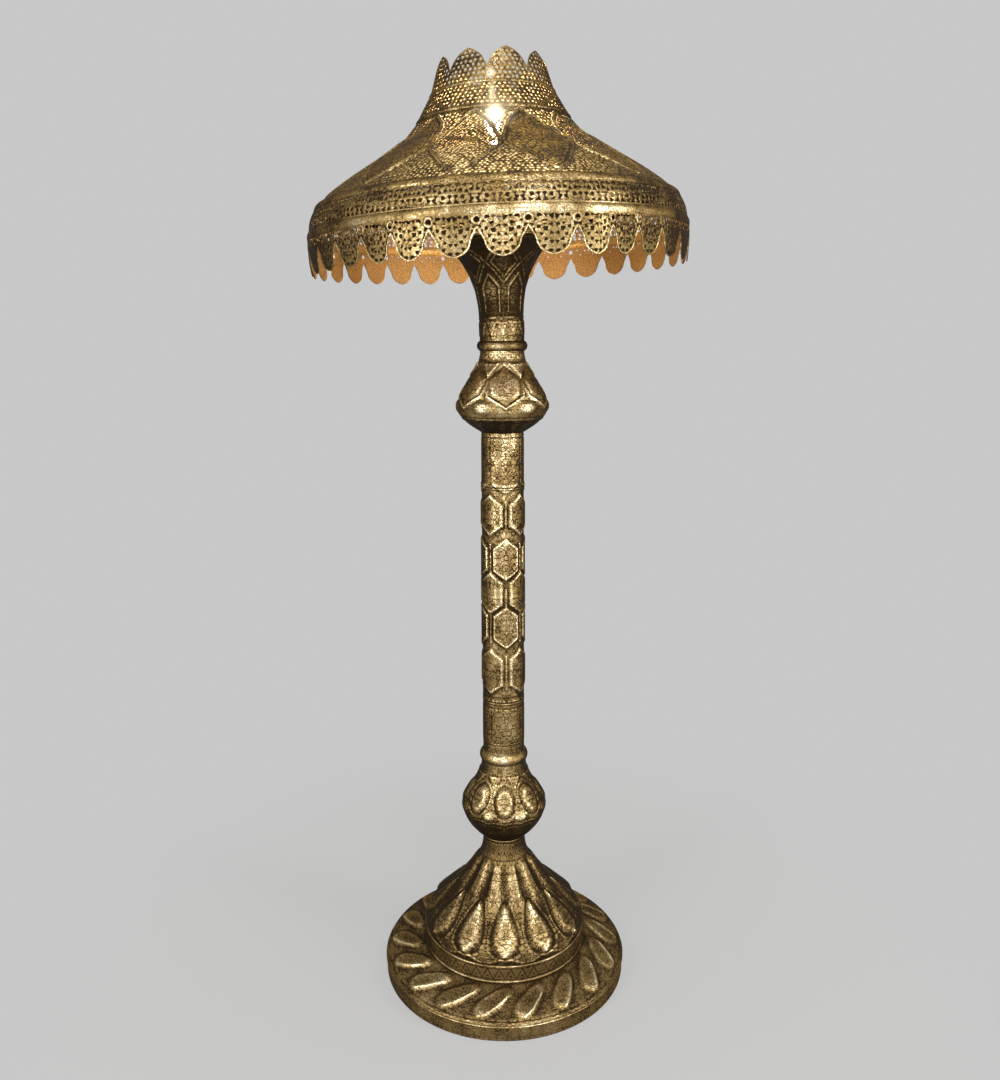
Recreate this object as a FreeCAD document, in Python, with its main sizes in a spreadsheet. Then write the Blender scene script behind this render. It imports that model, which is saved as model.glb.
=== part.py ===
# Brass floor lamp: disc base, bell, knopped column, trumpet and a pierced shade.
# Millimetres, +Z up, origin on the floor at the centre of the foot.
import FreeCAD, Part
import math
import os
from types import SimpleNamespace

import Sketcher
from FreeCAD import Placement, Rotation, Vector

os.makedirs("parts", exist_ok=True)

sizes = {
    # clearances
    "fit": 0.3,  # between curved or moving pieces
    "thread_fit": 0.15,  # between a thread and its nut
    # foot
    "felt_thick": 3, "felt_in": 4, "cover_thick": 2, "cover_gap": 2.4, "cover_bore_r": 30,
    "screw_circle_r": 100, "screw_r": 1.9, "screw_head_r": 4, "screw_head_h": 2,
    "screw_len": 12, "screw_count": 4,
    "weight_r": 148, "weight_bore_r": 45, "weight_thick": 22,
    "channel_w": 9, "channel_h": 9,
    "clamp_lap": 17, "clamp_thick": 5,
    "washer_r": 15, "washer_thick": 2,
    "nut_r": 12, "nut_h": 6,
    # pan with its raised lobes
    "pan_r": 225, "pan_wall": 1.6, "rim_lift": 1, "rim_h": 29, "shoulder_in": 3.5,
    "shoulder_h": 4.5, "shoulder_bulge": 0.8, "disc_rise": 21, "disc_crown": 1.5,
    "seat_margin": 4.5,
    "lobe_count": 18, "lobe_half_len": 31, "lobe_half_w": 12,
    "lobe_half_h": 5, "lobe_swirl": 48, "lobe_turn": 3.5,
    "rim_bead_half": 1.6, "rim_bead_out": 1.5, "rim_bead_drop": 2.5,
    # cable inlet, terminal block and lead
    "inlet_z": 14, "inlet_bore_r": 3.2, "inlet_neck_r": 5.7, "inlet_flange_r": 8.5,
    "inlet_flange_t": 1.8,
    "block_len": 34, "block_wide": 22, "block_h": 14, "block_gap": 21,
    "lead_r": 2.5, "lead_bend_r": 17, "lead_lean_r": 400, "lead_z": 9.5,
    # collar and bell
    "collar_r": 149.5, "collar_h": 34, "sheet_wall": 1.5,
    "low_bead_half": 2.2, "low_bead_out": 2.1, "top_bead_half": 1.7, "top_bead_out": 1.5,
    "bell_foot_in": 1, "bell_shoulder_r": 134, "bell_shoulder_h": 31.5,
    "bell_shoulder_bulge": 4.5, "bell_waist_r": 94.6, "bell_waist_h": 70.5,
    "bell_throat_r": 44.7, "bell_throat_h": 138.5, "bell_throat_bulge": -5.4,
    "bell_neck_r": 38.6, "bell_h": 178.5, "bell_neck_bulge": -1.7,
    # lower knop and its ring
    "low_foot_out": 0.7, "low_belly_r": 77.5, "low_bowl_h": 55, "low_bowl_bulge": 6.5,
    "low_cheek_r": 70.5, "low_cheek_h": 24, "low_cheek_bulge": 2,
    "low_slope_r": 48.5, "low_slope_h": 61, "low_top_r": 40.5, "low_dome_h": 91,
    "low_top_bulge": -1.6,
    "low_ring_h": 26, "low_ring_out": 4.9, "ring_bore_r": 30, "ring_land": 3,
    # column
    "column_low_r": 37.5, "column_top_r": 36.2, "column_h": 577,
    # upper knop and its ring
    "up_belly_r": 69.5, "up_bowl_h": 24, "up_bowl_bulge": 1.5,
    "up_cheek_r": 73, "up_cheek_h": 34, "up_cheek_bulge": 5.4,
    "up_slope_r": 47.9, "up_slope_h": 78, "up_slope_bulge": 1.5,
    "up_top_r": 37.2, "up_dome_h": 109, "up_top_bulge": -2,
    "up_ring_h": 21, "up_ring_out": 5.3, "up_ring_land": 2,
    # everything above the upper ring leans over
    "lean_deg": 2.1,
    "neck_r": 37.2, "neck_h": 37,
    "trumpet_low_r": 40, "trumpet_low_h": 32, "trumpet_low_bulge": -0.9,
    "trumpet_mid_r": 54.4, "trumpet_mid_h": 77, "trumpet_mid_bulge": -2.2,
    "trumpet_mouth_r": 93, "trumpet_h": 123, "trumpet_mouth_bulge": -4.2,
    "cap_thick": 1.5, "trumpet_rim_h": 4, "trumpet_rim_w": 4, "trumpet_rim_out": 2.4,
    # centre pipe
    "pipe_r": 6.5, "pipe_wall": 1.25, "pipe_low_z": 17.5, "pipe_above_cap": 79.5,
    # shade carrier
    "hub_above_cap": 41.5, "hub_r": 15.5, "hub_h": 18, "hub_flange_w": 12.5,
    "hub_flange_t": 4, "arm_w": 14, "arm_t": 4, "arm_in": 3, "arm_count": 3,
    "ring_gap": 1.5, "seat_ring_w": 17, "seat_ring_t": 3,
    # shade, from its lower edge upward
    "shade_edge_above_cap": -52.5, "shade_wall": 1.2,
    "shade_r": 306.8, "skirt_edge_in": 3.8, "skirt_h": 55.5, "skirt_bulge": 1.7,
    "scallop_count": 32, "scallop_turn": 0.7, "notch_h": 37, "notch_neck_h": 24,
    "notch_neck_w": 7.5, "notch_waist_h": 20.5, "notch_waist_w": 9,
    "notch_flank_h": 7.5, "notch_flank_w": 16,
    "belt_top_in": 3, "belt_h": 11.5, "belt_bulge": 1.8,
    "frieze_top_in": 10.3, "frieze_h": 31, "frieze_bulge": 2.5,
    "moulding_h": 9.5, "moulding_top_in": 8.5,
    "moulding_out": 3, "moulding_w": 4.5,
    "flange_in": 2, "flange_t": 1.5,
    "dome_mid_in": 57.5, "dome_mid_h": 40.5, "dome_mid_bulge": 1.5,
    "dome_high_in": 61.5, "dome_high_h": 80.5, "dome_top_in": 43, "dome_h": 118.5,
    "dome_top_bulge": -5.5, "dome_wall": 1.6,
    "ridge_h": 5, "ridge_w": 4.3, "ridge_out": 1.8,
    "ridge_in": 1.5, "band_in": 21, "band_h": 35,
    "wire_h": 4, "wire_w": 3.5, "wire_out": 1.6,
    "wire_in": 2.5, "crown_in": 16, "crown_h": 50, "crown_notch_z": 21,
    "merlon_count": 9, "merlon_turn": -4, "merlon_cheek_w": 9, "merlon_cheek_h": 38,
    # lamp holder, switch and bulb, above the top of the pipe
    "cup_r": 19, "cup_wall": 0.9, "cup_drop": 12, "cup_boss_r": 10, "cup_boss_h": 6,
    "cup_cone_h": 16, "cup_h": 30,
    "block_gap_r": 0.6, "switch_low": 6, "switch_h": 24, "switch_axis": 24,
    "shell_h": 36, "liner_gap": 0.8, "liner_h": 22,
    "thread_gap": 0.4, "thread_wall": 0.8, "thread_h": 20,
    "contact_r": 4, "contact_h": 1.5,
    "shaft_r": 2, "shaft_in": 5, "knob_gap": 3, "knob_len": 10, "knob_r": 4.5,
    "key_w": 16, "key_t": 3, "key_len": 9,
    "bulb_cap_r": 13, "bulb_cap_h": 18, "bulb_tip_r": 3.6, "bulb_tip_h": 1.6,
    "bulb_r": 30, "bulb_centre": 66.5, "bulb_wall": 1, "bulb_neck_in": 0.4,
    "bulb_waist_r": 17, "bulb_waist_h": 17, "bulb_neck_bulge": -1, "bulb_cheek_bulge": 3.6,
}

doc = FreeCAD.newDocument("FloorLamp")
sheet = doc.addObject("Spreadsheet::Sheet", "Sizes")
for row, (alias, amount) in enumerate(sizes.items(), start=1):
    sheet.set(f"A{row}", alias)
    sheet.set(f"B{row}", str(amount))
    sheet.setAlias(f"B{row}", alias)
doc.recompute()


def number(item):
    return item.value if isinstance(item, Size) else float(item)


def formula(item):
    return item.text if isinstance(item, Size) else repr(float(item))


class Size:
    # a length that knows its value and the sheet formula that it comes from
    def __init__(self, value, text):
        self.value = value
        self.text = text

    def __add__(self, other):
        return Size(self.value + number(other), f"({self.text} + {formula(other)})")

    def __radd__(self, other):
        return Size(number(other) + self.value, f"({formula(other)} + {self.text})")

    def __sub__(self, other):
        return Size(self.value - number(other), f"({self.text} - {formula(other)})")

    def __rsub__(self, other):
        return Size(number(other) - self.value, f"({formula(other)} - {self.text})")

    def __mul__(self, other):
        return Size(self.value * number(other), f"({self.text} * {formula(other)})")

    def __truediv__(self, other):
        return Size(self.value / number(other), f"({self.text} / {formula(other)})")


sz = SimpleNamespace(**{alias: Size(float(sheet.get(alias)), f"Sizes.{alias}") for alias in sizes})
zero = Size(0.0, "0.0")
pointTolerance = 1e-4
parts = []  # the sub-parts that are written out


def bind(thing, **properties):
    for name, item in properties.items():
        thing.setExpression(name.replace("__", "."), formula(item))
    return thing


# levels, each worked out from the piece below it
coverZ = sz.felt_thick
floorZ = coverZ + sz.cover_thick
weightTopZ = floorZ + sz.weight_thick
clampTopZ = weightTopZ + sz.clamp_thick
shoulderZ = sz.rim_lift + sz.rim_h + sz.shoulder_h
discZ = shoulderZ + sz.disc_rise
collarTopZ = discZ + sz.collar_h
bellTopZ = collarTopZ + sz.bell_h
lowSeamZ = bellTopZ + sz.low_bowl_h
lowDomeZ = lowSeamZ + sz.low_dome_h
columnZ = lowDomeZ + sz.low_ring_h
columnTopZ = columnZ + sz.column_h
upSeamZ = columnTopZ + sz.up_bowl_h
upDomeZ = upSeamZ + sz.up_dome_h
pivotZ = upDomeZ + sz.up_ring_h
neckTopZ = pivotZ + sz.neck_h
mouthZ = neckTopZ + sz.trumpet_h
capZ = mouthZ + sz.cap_thick
pipeTopZ = capZ + sz.pipe_above_cap
hubZ = capZ + sz.hub_above_cap
armZ = hubZ + sz.hub_flange_t
seatZ = armZ + sz.arm_t
seatTopZ = seatZ + sz.seat_ring_t
edgeZ = capZ + sz.shade_edge_above_cap
beltZ = edgeZ + sz.skirt_h
friezeZ = beltZ + sz.belt_h
mouldingZ = friezeZ + sz.frieze_h
domeZ = mouldingZ + sz.moulding_h
ridgeZ = domeZ + sz.dome_h
bandZ = ridgeZ + sz.ridge_h
wireZ = bandZ + sz.band_h
crownZ = wireZ + sz.wire_h
crownTopZ = crownZ + sz.crown_h

# radii that follow from the piece beside them
shoulderR = sz.pan_r - sz.shoulder_in
seatR = sz.collar_r + sz.seat_margin
lobeR = (shoulderR + seatR) / 2
coverR = sz.pan_r - sz.pan_wall - sz.cover_gap
feltR = coverR - sz.felt_in
pipeBoreR = sz.pipe_r - sz.pipe_wall
skirtEdgeR = sz.shade_r - sz.skirt_edge_in
beltTopR = sz.shade_r - sz.belt_top_in
friezeTopR = beltTopR - sz.frieze_top_in
mouldingTopR = friezeTopR - sz.moulding_top_in
domeMidR = mouldingTopR - sz.dome_mid_in
domeHighR = domeMidR - sz.dome_high_in
domeTopR = domeHighR - sz.dome_top_in
bandLowR = domeTopR - sz.ridge_in
bandTopR = bandLowR - sz.band_in
crownLowR = bandTopR - sz.wire_in
crownTopR = crownLowR - sz.crown_in
ringOutR = mouldingTopR - sz.moulding_w - sz.ring_gap
ringInR = ringOutR - sz.seat_ring_w
cupInR = sz.cup_r - sz.cup_wall
threadInR = sz.bulb_cap_r + sz.thread_gap
threadOutR = threadInR + sz.thread_wall
blockY = sz.weight_r + sz.block_gap

pivot = Vector(0, 0, pivotZ.value)
tilt = Rotation(Vector(0, -1, 0), sz.lean_deg.value)
leaning = Placement(pivot - tilt.multVec(pivot), tilt)


def place(thing, leans=False, turn=0):
    # stand a piece upright or leaning, turned about its own axis
    turned = Placement(Vector(), Rotation(Vector(0, 0, 1), turn))
    thing.Placement = leaning.multiply(turned) if leans else turned


def keep(label, thing, leans=False, turn=0):
    thing.Label = label
    place(thing, leans, turn)
    parts.append(thing)
    return thing


def drawOutline(body, name, steps):
    # closed outline of lines and three-point arcs: (x, y) or (x, y, viaX, viaY)
    sketch = body.newObject("Sketcher::SketchObject", name)
    support = next(item for item in body.Origin.OriginFeatures if item.Role == "XZ_Plane")
    sketch.AttachmentSupport = [(support, "")]
    sketch.MapMode = "FlatFace"
    corners = [Vector(number(step[0]), number(step[1]), 0) for step in steps]
    ends = []
    vias = []
    for index, corner in enumerate(corners):
        step = steps[(index + 1) % len(steps)]
        target = corners[(index + 1) % len(steps)]
        if len(step) == 2:
            edge = sketch.addGeometry(Part.LineSegment(corner, target), False)
            ends.append((edge, 1, 2))
            continue
        via = Vector(number(step[2]), number(step[3]), 0)
        edge = sketch.addGeometry(Part.ArcOfCircle(corner, via, target), False)
        forward = sketch.getPoint(edge, 1).isEqual(corner, pointTolerance)
        ends.append((edge, 1, 2) if forward else (edge, 2, 1))
        vias.append((edge, via, step))
    for index, (edge, head, tail) in enumerate(ends):
        nextEdge, nextHead, _ = ends[(index + 1) % len(ends)]
        sketch.addConstraint(Sketcher.Constraint("Coincident", edge, tail, nextEdge, nextHead))
        pinPoint(sketch, edge, head, steps[index][0], steps[index][1])
    for edge, via, step in vias:
        mark = sketch.addGeometry(Part.Point(via), True)
        sketch.addConstraint(Sketcher.Constraint("PointOnObject", mark, 1, edge))
        pinPoint(sketch, mark, 1, step[2], step[3])
    return sketch


def pinPoint(sketch, edge, end, x, y):
    # tie one point of a sketch to its two formulas
    for kind, axis, item in (("DistanceX", -2, x), ("DistanceY", -1, y)):
        if not isinstance(item, Size) and item == 0:
            sketch.addConstraint(Sketcher.Constraint("PointOnObject", edge, end, axis))
            continue
        rule = Sketcher.Constraint(kind, -1, 1, edge, end, number(item))
        slot = sketch.addConstraint(rule)
        sketch.setExpression(f"Constraints[{slot}]", formula(item))


def newBody(name):
    return doc.addObject("PartDesign::Body", name)


def spin(name, steps):
    # a turned body: its outline goes round the Z axis
    body = newBody(name)
    sketch = drawOutline(body, name + "Outline", steps)
    turned = body.newObject("PartDesign::Revolution", name + "Turned")
    turned.Profile = sketch
    turned.ReferenceAxis = (sketch, ["V_Axis"])
    turned.Angle = 360
    return body


def bowed(start, end, bulge, rise=0):
    # end point of an arc that bows out by bulge from the middle of its chord
    middleX = (start[0] + end[0]) / 2 + bulge
    middleZ = (start[1] + end[1]) / 2 + rise
    return (end[0], end[1], middleX, middleZ)


def shellSteps(stations, wall):
    # outline of a spun sheet from stations (radius, height, bulge of the arc before it)
    outer = [stations[0][:2]]
    for before, after in zip(stations, stations[1:]):
        outer.append(bowed(before, after, after[2]) if len(after) > 2 else after)
    inner = [(stations[-1][0] - wall, stations[-1][1])]
    for after, before in zip(stations[:0:-1], stations[-2::-1]):
        start = (after[0] - wall, after[1])
        end = (before[0] - wall, before[1])
        inner.append(bowed(start, end, after[2]) if len(after) > 2 else end)
    return outer + inner


def shell(label, stations, wall, leans=False, turn=0):
    return keep(label, spin(label, shellSteps(stations, wall)), leans, turn)


def washer(label, low, height, outer, bore, leans=False):
    steps = [(bore, low), (outer, low), (outer, low + height), (bore, low + height)]
    return keep(label, spin(label, steps), leans)


def bead(label, radius, middle, half, out, leans=False):
    # half-round wire soldered round a spun sheet
    low = (radius + sz.thread_fit, middle - half)
    high = (radius + sz.thread_fit, middle + half)
    return keep(label, spin(label, [low, bowed(low, high, out)]), leans)


def hexNut(label, low, leans=False):
    prism = bind(doc.addObject("Part::Prism", label + "Prism"),
                 Circumradius=sz.nut_r, Height=sz.nut_h, Placement__Base__z=low)
    prism.Polygon = 6
    bore = bind(doc.addObject("Part::Cylinder", label + "Bore"),
                Radius=sz.pipe_r + sz.thread_fit, Height=sz.nut_h, Placement__Base__z=low)
    return keep(label, subtract(label, prism, bore), leans)


def centred(width):
    # where a width starts that lies evenly about the axis
    return width / -2


def cylinder(name, radius, height, low, x=0, y=0):
    return bind(doc.addObject("Part::Cylinder", name), Radius=radius, Height=height,
                Placement__Base__x=x, Placement__Base__y=y, Placement__Base__z=low)


def subtract(name, base, tool):
    cut = doc.addObject("Part::Cut", name + "Cut")
    cut.Base = base
    cut.Tool = tool
    return cut


def fuse(name, pieces):
    fused = doc.addObject("Part::MultiFuse", name + "Fused")
    fused.Shapes = pieces
    return fused


def group(name, pieces):
    compound = doc.addObject("Part::Compound", name + "Group")
    compound.Links = pieces
    return compound


def screwPlaces():
    # the cover screws stand on a circle, clear of the lead's channel
    count = int(sz.screw_count.value)
    for index in range(count):
        angle = math.pi * (2 * index + 1) / count
        yield index, sz.screw_circle_r * math.cos(angle), sz.screw_circle_r * math.sin(angle)


def screwHoles(name, radius, low, height):
    return group(name, [cylinder(f"{name}{index}", radius, height, low, x, y)
                        for index, x, y in screwPlaces()])


def notchBody(body, name, steps, count):
    # one notch through the front wall, repeated round the axis
    sketch = drawOutline(body, name + "Notch", steps)
    whole = body.Tip.Shape.Volume
    pocket = body.newObject("PartDesign::Pocket", name + "Pocket")
    pocket.Profile = sketch
    pocket.Type = "ThroughAll"
    pocket.Reversed = True
    doc.recompute()
    removed = whole - pocket.Shape.Volume
    if removed < 1:
        raise RuntimeError(f"{name} pocket removed {removed} mm3")
    pattern = body.newObject("PartDesign::PolarPattern", name + "Notches")
    pattern.Originals = [pocket]
    pattern.Axis = (sketch, ["V_Axis"])
    pattern.Angle = 360
    pattern.Occurrences = int(count.value)
    body.Tip = pattern
    return body


def buildFoot():
    felt = spin("feltDisc", [(0, 0), (feltR, 0), (feltR, coverZ), (0, coverZ)])
    feltHoles = screwHoles("feltHole", sz.screw_head_r + sz.fit, 0, coverZ)
    keep("felt_pad", subtract("felt_pad", felt, feltHoles))

    cover = spin("coverDisc", [(sz.cover_bore_r, coverZ), (coverR, coverZ),
                               (coverR, floorZ), (sz.cover_bore_r, floorZ)])
    coverHoles = screwHoles("coverHole", sz.screw_r + sz.fit, coverZ, sz.cover_thick)
    keep("base_cover", subtract("base_cover", cover, coverHoles))

    screws = []
    for index, x, y in screwPlaces():
        head = cylinder(f"screwHead{index}", sz.screw_head_r, sz.screw_head_h,
                        coverZ - sz.screw_head_h, x, y)
        shank = cylinder(f"screwShank{index}", sz.screw_r, sz.screw_len, coverZ, x, y)
        screws.append(fuse(f"screw{index}", [head, shank]))
    keep("cover_screws", group("cover_screws", screws))

    weight = spin("weightRing", [(sz.weight_bore_r, floorZ), (sz.weight_r, floorZ),
                                 (sz.weight_r, weightTopZ), (sz.weight_bore_r, weightTopZ)])
    channel = bind(doc.addObject("Part::Box", "leadChannel"), Length=sz.channel_w,
                   Width=sz.weight_r, Height=sz.channel_h,
                   Placement__Base__x=centred(sz.channel_w), Placement__Base__z=floorZ)
    holes = screwHoles("weightHole", sz.screw_r + sz.thread_fit, floorZ, sz.screw_len)
    keep("base_weight", subtract("base_weight", subtract("channelled", weight, channel), holes))

    bore = sz.pipe_r + sz.fit
    washer("clamp_plate", weightTopZ, sz.clamp_thick, sz.weight_bore_r + sz.clamp_lap, bore)
    washerZ = weightTopZ - sz.washer_thick
    washer("bottom_washer", washerZ, sz.washer_thick, sz.washer_r, bore)
    hexNut("bottom_nut", washerZ - sz.nut_h)
    washer("base_spacer", clampTopZ, discZ - sz.pan_wall - clampTopZ, sz.washer_r, bore)


def panSteps(inset):
    # half section of the pan, drawn inwards by inset
    rim = sz.pan_r - inset
    shoulder = (shoulderR - inset, shoulderZ - inset)
    seat = (seatR, discZ - inset)
    corner = (rim, shoulderZ - sz.shoulder_h)
    hole = sz.pipe_r + sz.fit
    return [(hole, sz.rim_lift), (rim, sz.rim_lift), corner,
            bowed(corner, shoulder, sz.shoulder_bulge, sz.shoulder_bulge),
            bowed(shoulder, seat, 0, sz.disc_crown), (hole, discZ - inset)]


def buildPan():
    outside = spin("panOutside", panSteps(zero))
    inside = spin("panInside", panSteps(sz.pan_wall))
    lobes = []
    slope = math.degrees(math.atan2(sz.disc_rise.value, shoulderR.value - seatR.value))
    lobeZ = shoulderZ + sz.disc_rise / 2
    for index in range(int(sz.lobe_count.value)):
        lobe = bind(doc.addObject("Part::Ellipsoid", f"lobe{index}"), Radius1=sz.lobe_half_h,
                    Radius2=sz.lobe_half_len, Radius3=sz.lobe_half_w)
        lobe.Angle1 = -90
        lobe.Angle2 = 90
        lobe.Angle3 = 360
        angle = sz.lobe_turn.value + 360 * index / sz.lobe_count.value
        around = Rotation(Vector(0, 0, 1), angle)
        swirled = Rotation(Vector(0, 0, 1), -sz.lobe_swirl.value)
        lying = Rotation(Vector(0, 1, 0), slope).multiply(swirled)
        spot = around.multVec(Vector(lobeR.value, 0, lobeZ.value))
        lobe.Placement = Placement(spot, around.multiply(lying))
        lobes.append(lobe)
    solid = subtract("panHollow", fuse("panRaised", [outside] + lobes), inside)
    hole = cylinder("inletHole", sz.inlet_neck_r + sz.fit, sz.pan_r, sz.inlet_z)
    hole.Placement.Rotation = Rotation(Vector(1, 0, 0), -90)
    keep("base_pan", subtract("base_pan", solid, hole))
    bead("rim_bead", sz.pan_r, shoulderZ - sz.shoulder_h - sz.rim_bead_drop,
         sz.rim_bead_half, sz.rim_bead_out)


def buildInlet():
    out = sz.thread_fit + sz.inlet_flange_t
    back = zero - sz.pan_wall - sz.fit
    steps = [(sz.inlet_bore_r, back - sz.inlet_flange_t), (sz.inlet_flange_r, back - sz.inlet_flange_t),
             (sz.inlet_flange_r, back), (sz.inlet_neck_r, back), (sz.inlet_neck_r, sz.fit),
             (sz.inlet_flange_r, sz.fit), (sz.inlet_flange_r, out + sz.fit),
             (sz.inlet_bore_r, out + sz.fit)]
    grommet = keep("cord_grommet", spin("cord_grommet", steps))
    grommet.Placement = Placement(Vector(0, sz.pan_r.value, sz.inlet_z.value),
                                  Rotation(Vector(1, 0, 0), -90))
    block = bind(doc.addObject("Part::Box", "terminalBox"), Length=sz.block_len,
                 Width=sz.block_wide, Height=sz.block_h,
                 Placement__Base__x=centred(sz.block_len), Placement__Base__y=blockY,
                 Placement__Base__z=floorZ)
    keep("terminal_block", group("terminal_block", [block]))


def buildBase():
    shell("base_collar", [(sz.collar_r, discZ), (sz.collar_r, collarTopZ)], sz.sheet_wall)
    bead("collar_bead_low", sz.collar_r, discZ + sz.low_bead_half, sz.low_bead_half, sz.low_bead_out)
    bead("collar_bead_top", sz.collar_r, collarTopZ - sz.top_bead_half, sz.top_bead_half,
         sz.top_bead_out)
    shell("base_bell", [(sz.collar_r - sz.bell_foot_in, collarTopZ),
                        (sz.bell_shoulder_r, collarTopZ + sz.bell_shoulder_h, sz.bell_shoulder_bulge),
                        (sz.bell_waist_r, collarTopZ + sz.bell_waist_h),
                        (sz.bell_throat_r, collarTopZ + sz.bell_throat_h, sz.bell_throat_bulge),
                        (sz.bell_neck_r, bellTopZ, sz.bell_neck_bulge)], sz.sheet_wall)


def turnedRing(low, height, lowR, topR, out, land, lift=0):
    # cast ring with a round outside between two short lands
    start = (lowR, low + land)
    end = (topR, low + height - land)
    top = low + height + lift
    return [(sz.ring_bore_r, low), (lowR, low), start, bowed(start, end, out),
            (topR, top), (sz.ring_bore_r, top)]


def buildColumn():
    shell("lower_knop_bowl", [(sz.bell_neck_r + sz.low_foot_out, bellTopZ),
                              (sz.low_belly_r, lowSeamZ, sz.low_bowl_bulge)], sz.sheet_wall)
    shell("lower_knop_dome", [(sz.low_belly_r, lowSeamZ),
                              (sz.low_cheek_r, lowSeamZ + sz.low_cheek_h, sz.low_cheek_bulge),
                              (sz.low_slope_r, lowSeamZ + sz.low_slope_h),
                              (sz.low_top_r, lowDomeZ, sz.low_top_bulge)], sz.sheet_wall)
    keep("lower_ring", spin("lower_ring", turnedRing(
        lowDomeZ, sz.low_ring_h, sz.low_top_r, sz.column_low_r, sz.low_ring_out, sz.ring_land)))
    shell("column_tube", [(sz.column_low_r, columnZ), (sz.column_top_r, columnTopZ)], sz.sheet_wall)
    shell("upper_knop_bowl", [(sz.column_top_r + sz.sheet_wall / 2, columnTopZ),
                              (sz.up_belly_r, upSeamZ, sz.up_bowl_bulge)], sz.sheet_wall)
    shell("upper_knop_dome", [(sz.up_belly_r, upSeamZ),
                              (sz.up_cheek_r, upSeamZ + sz.up_cheek_h, sz.up_cheek_bulge),
                              (sz.up_slope_r, upSeamZ + sz.up_slope_h, sz.up_slope_bulge),
                              (sz.up_top_r, upDomeZ, sz.up_top_bulge)], sz.sheet_wall)
    # the ring's top is filed to the lean of what stands on it
    ring = spin("upperRingBlank", turnedRing(upDomeZ, sz.up_ring_h, sz.up_top_r, sz.neck_r,
                                             sz.up_ring_out, sz.up_ring_land, sz.washer_thick))
    above = cylinder("ringAbove", sz.neck_r * 2, sz.neck_r, pivotZ)
    above.Placement.Rotation = tilt
    keep("upper_ring", subtract("upper_ring", ring, above))


def buildPipe():
    # the pipe stands upright to the pivot and leans above it
    tubes = []
    for name, radius in (("pipeOutside", sz.pipe_r), ("pipeBore", pipeBoreR)):
        low = cylinder(name + "Low", radius, pivotZ - sz.pipe_low_z, sz.pipe_low_z)
        high = cylinder(name + "High", radius, pipeTopZ - pivotZ, pivotZ)
        high.Placement.Rotation = tilt
        elbow = bind(doc.addObject("Part::Sphere", name + "Elbow"), Radius=radius,
                     Placement__Base__z=pivotZ)
        tubes.append(fuse(name, [low, high, elbow]))
    keep("centre_pipe", subtract("centre_pipe", tubes[0], tubes[1]))


def buildLead():
    # one lead from the terminal block, under the weight and up the pipe to the switch
    bend = sz.lead_bend_r.value
    low = sz.lead_z.value
    start = Vector(0, blockY.value, low)
    up = Vector(0, 0, 1)
    lean = tilt.multVec(up)
    reach = sz.lead_lean_r.value * math.tan(math.radians(sz.lean_deg.value) / 2)
    end = leaning.multVec(Vector(0, 0, pipeTopZ.value + sz.switch_low.value))
    before = pivot - up * reach
    after = pivot + lean * reach
    swing = before.add(after) * 0.5
    sagitta = sz.lead_lean_r.value * (1 - math.cos(math.radians(sz.lean_deg.value) / 2))
    side = (pivot - swing).normalize()
    corner = Vector(0, bend * (1 - math.sqrt(0.5)), low + bend * (1 - math.sqrt(0.5)))
    edges = [Part.makeLine(start, Vector(0, bend, low)),
             Part.Arc(Vector(0, bend, low), corner, Vector(0, 0, low + bend)).toShape(),
             Part.makeLine(Vector(0, 0, low + bend), before),
             Part.Arc(before, swing + side * sagitta, after).toShape(),
             Part.makeLine(after, end)]
    route = Part.Wire(edges)
    ring = Part.Wire(Part.makeCircle(sz.lead_r.value, start, Vector(0, -1, 0)))
    lead = doc.addObject("Part::Feature", "lampLead")
    lead.Shape = route.makePipeShell([ring], True, False)
    section = math.pi * sz.lead_r.value ** 2
    print("lead length", round(route.Length, 1), "volume ratio",
          round(lead.Shape.Volume / (section * route.Length), 5))
    lead.Label = "lamp_lead"
    parts.append(lead)


def buildTrumpet():
    shell("neck_band", [(sz.neck_r, pivotZ), (sz.neck_r, neckTopZ)], sz.sheet_wall, True)
    shell("trumpet", [(sz.neck_r, neckTopZ),
                      (sz.trumpet_low_r, neckTopZ + sz.trumpet_low_h, sz.trumpet_low_bulge),
                      (sz.trumpet_mid_r, neckTopZ + sz.trumpet_mid_h, sz.trumpet_mid_bulge),
                      (sz.trumpet_mouth_r, mouthZ, sz.trumpet_mouth_bulge)], sz.sheet_wall, True)
    bore = sz.pipe_r + sz.fit
    washer("trumpet_cap", mouthZ, sz.cap_thick, sz.trumpet_mouth_r, bore, True)
    rimLow = (sz.trumpet_mouth_r, capZ)
    rimHigh = (sz.trumpet_mouth_r, capZ + sz.trumpet_rim_h)
    inner = sz.trumpet_mouth_r - sz.trumpet_rim_w
    keep("trumpet_rim", spin("trumpet_rim", [
        (inner, capZ), rimLow, bowed(rimLow, rimHigh, sz.trumpet_rim_out),
        (inner, capZ + sz.trumpet_rim_h)]), True)
    washer("top_washer", capZ, sz.washer_thick, sz.washer_r, bore, True)
    hexNut("top_locknut", capZ + sz.washer_thick, True)


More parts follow.
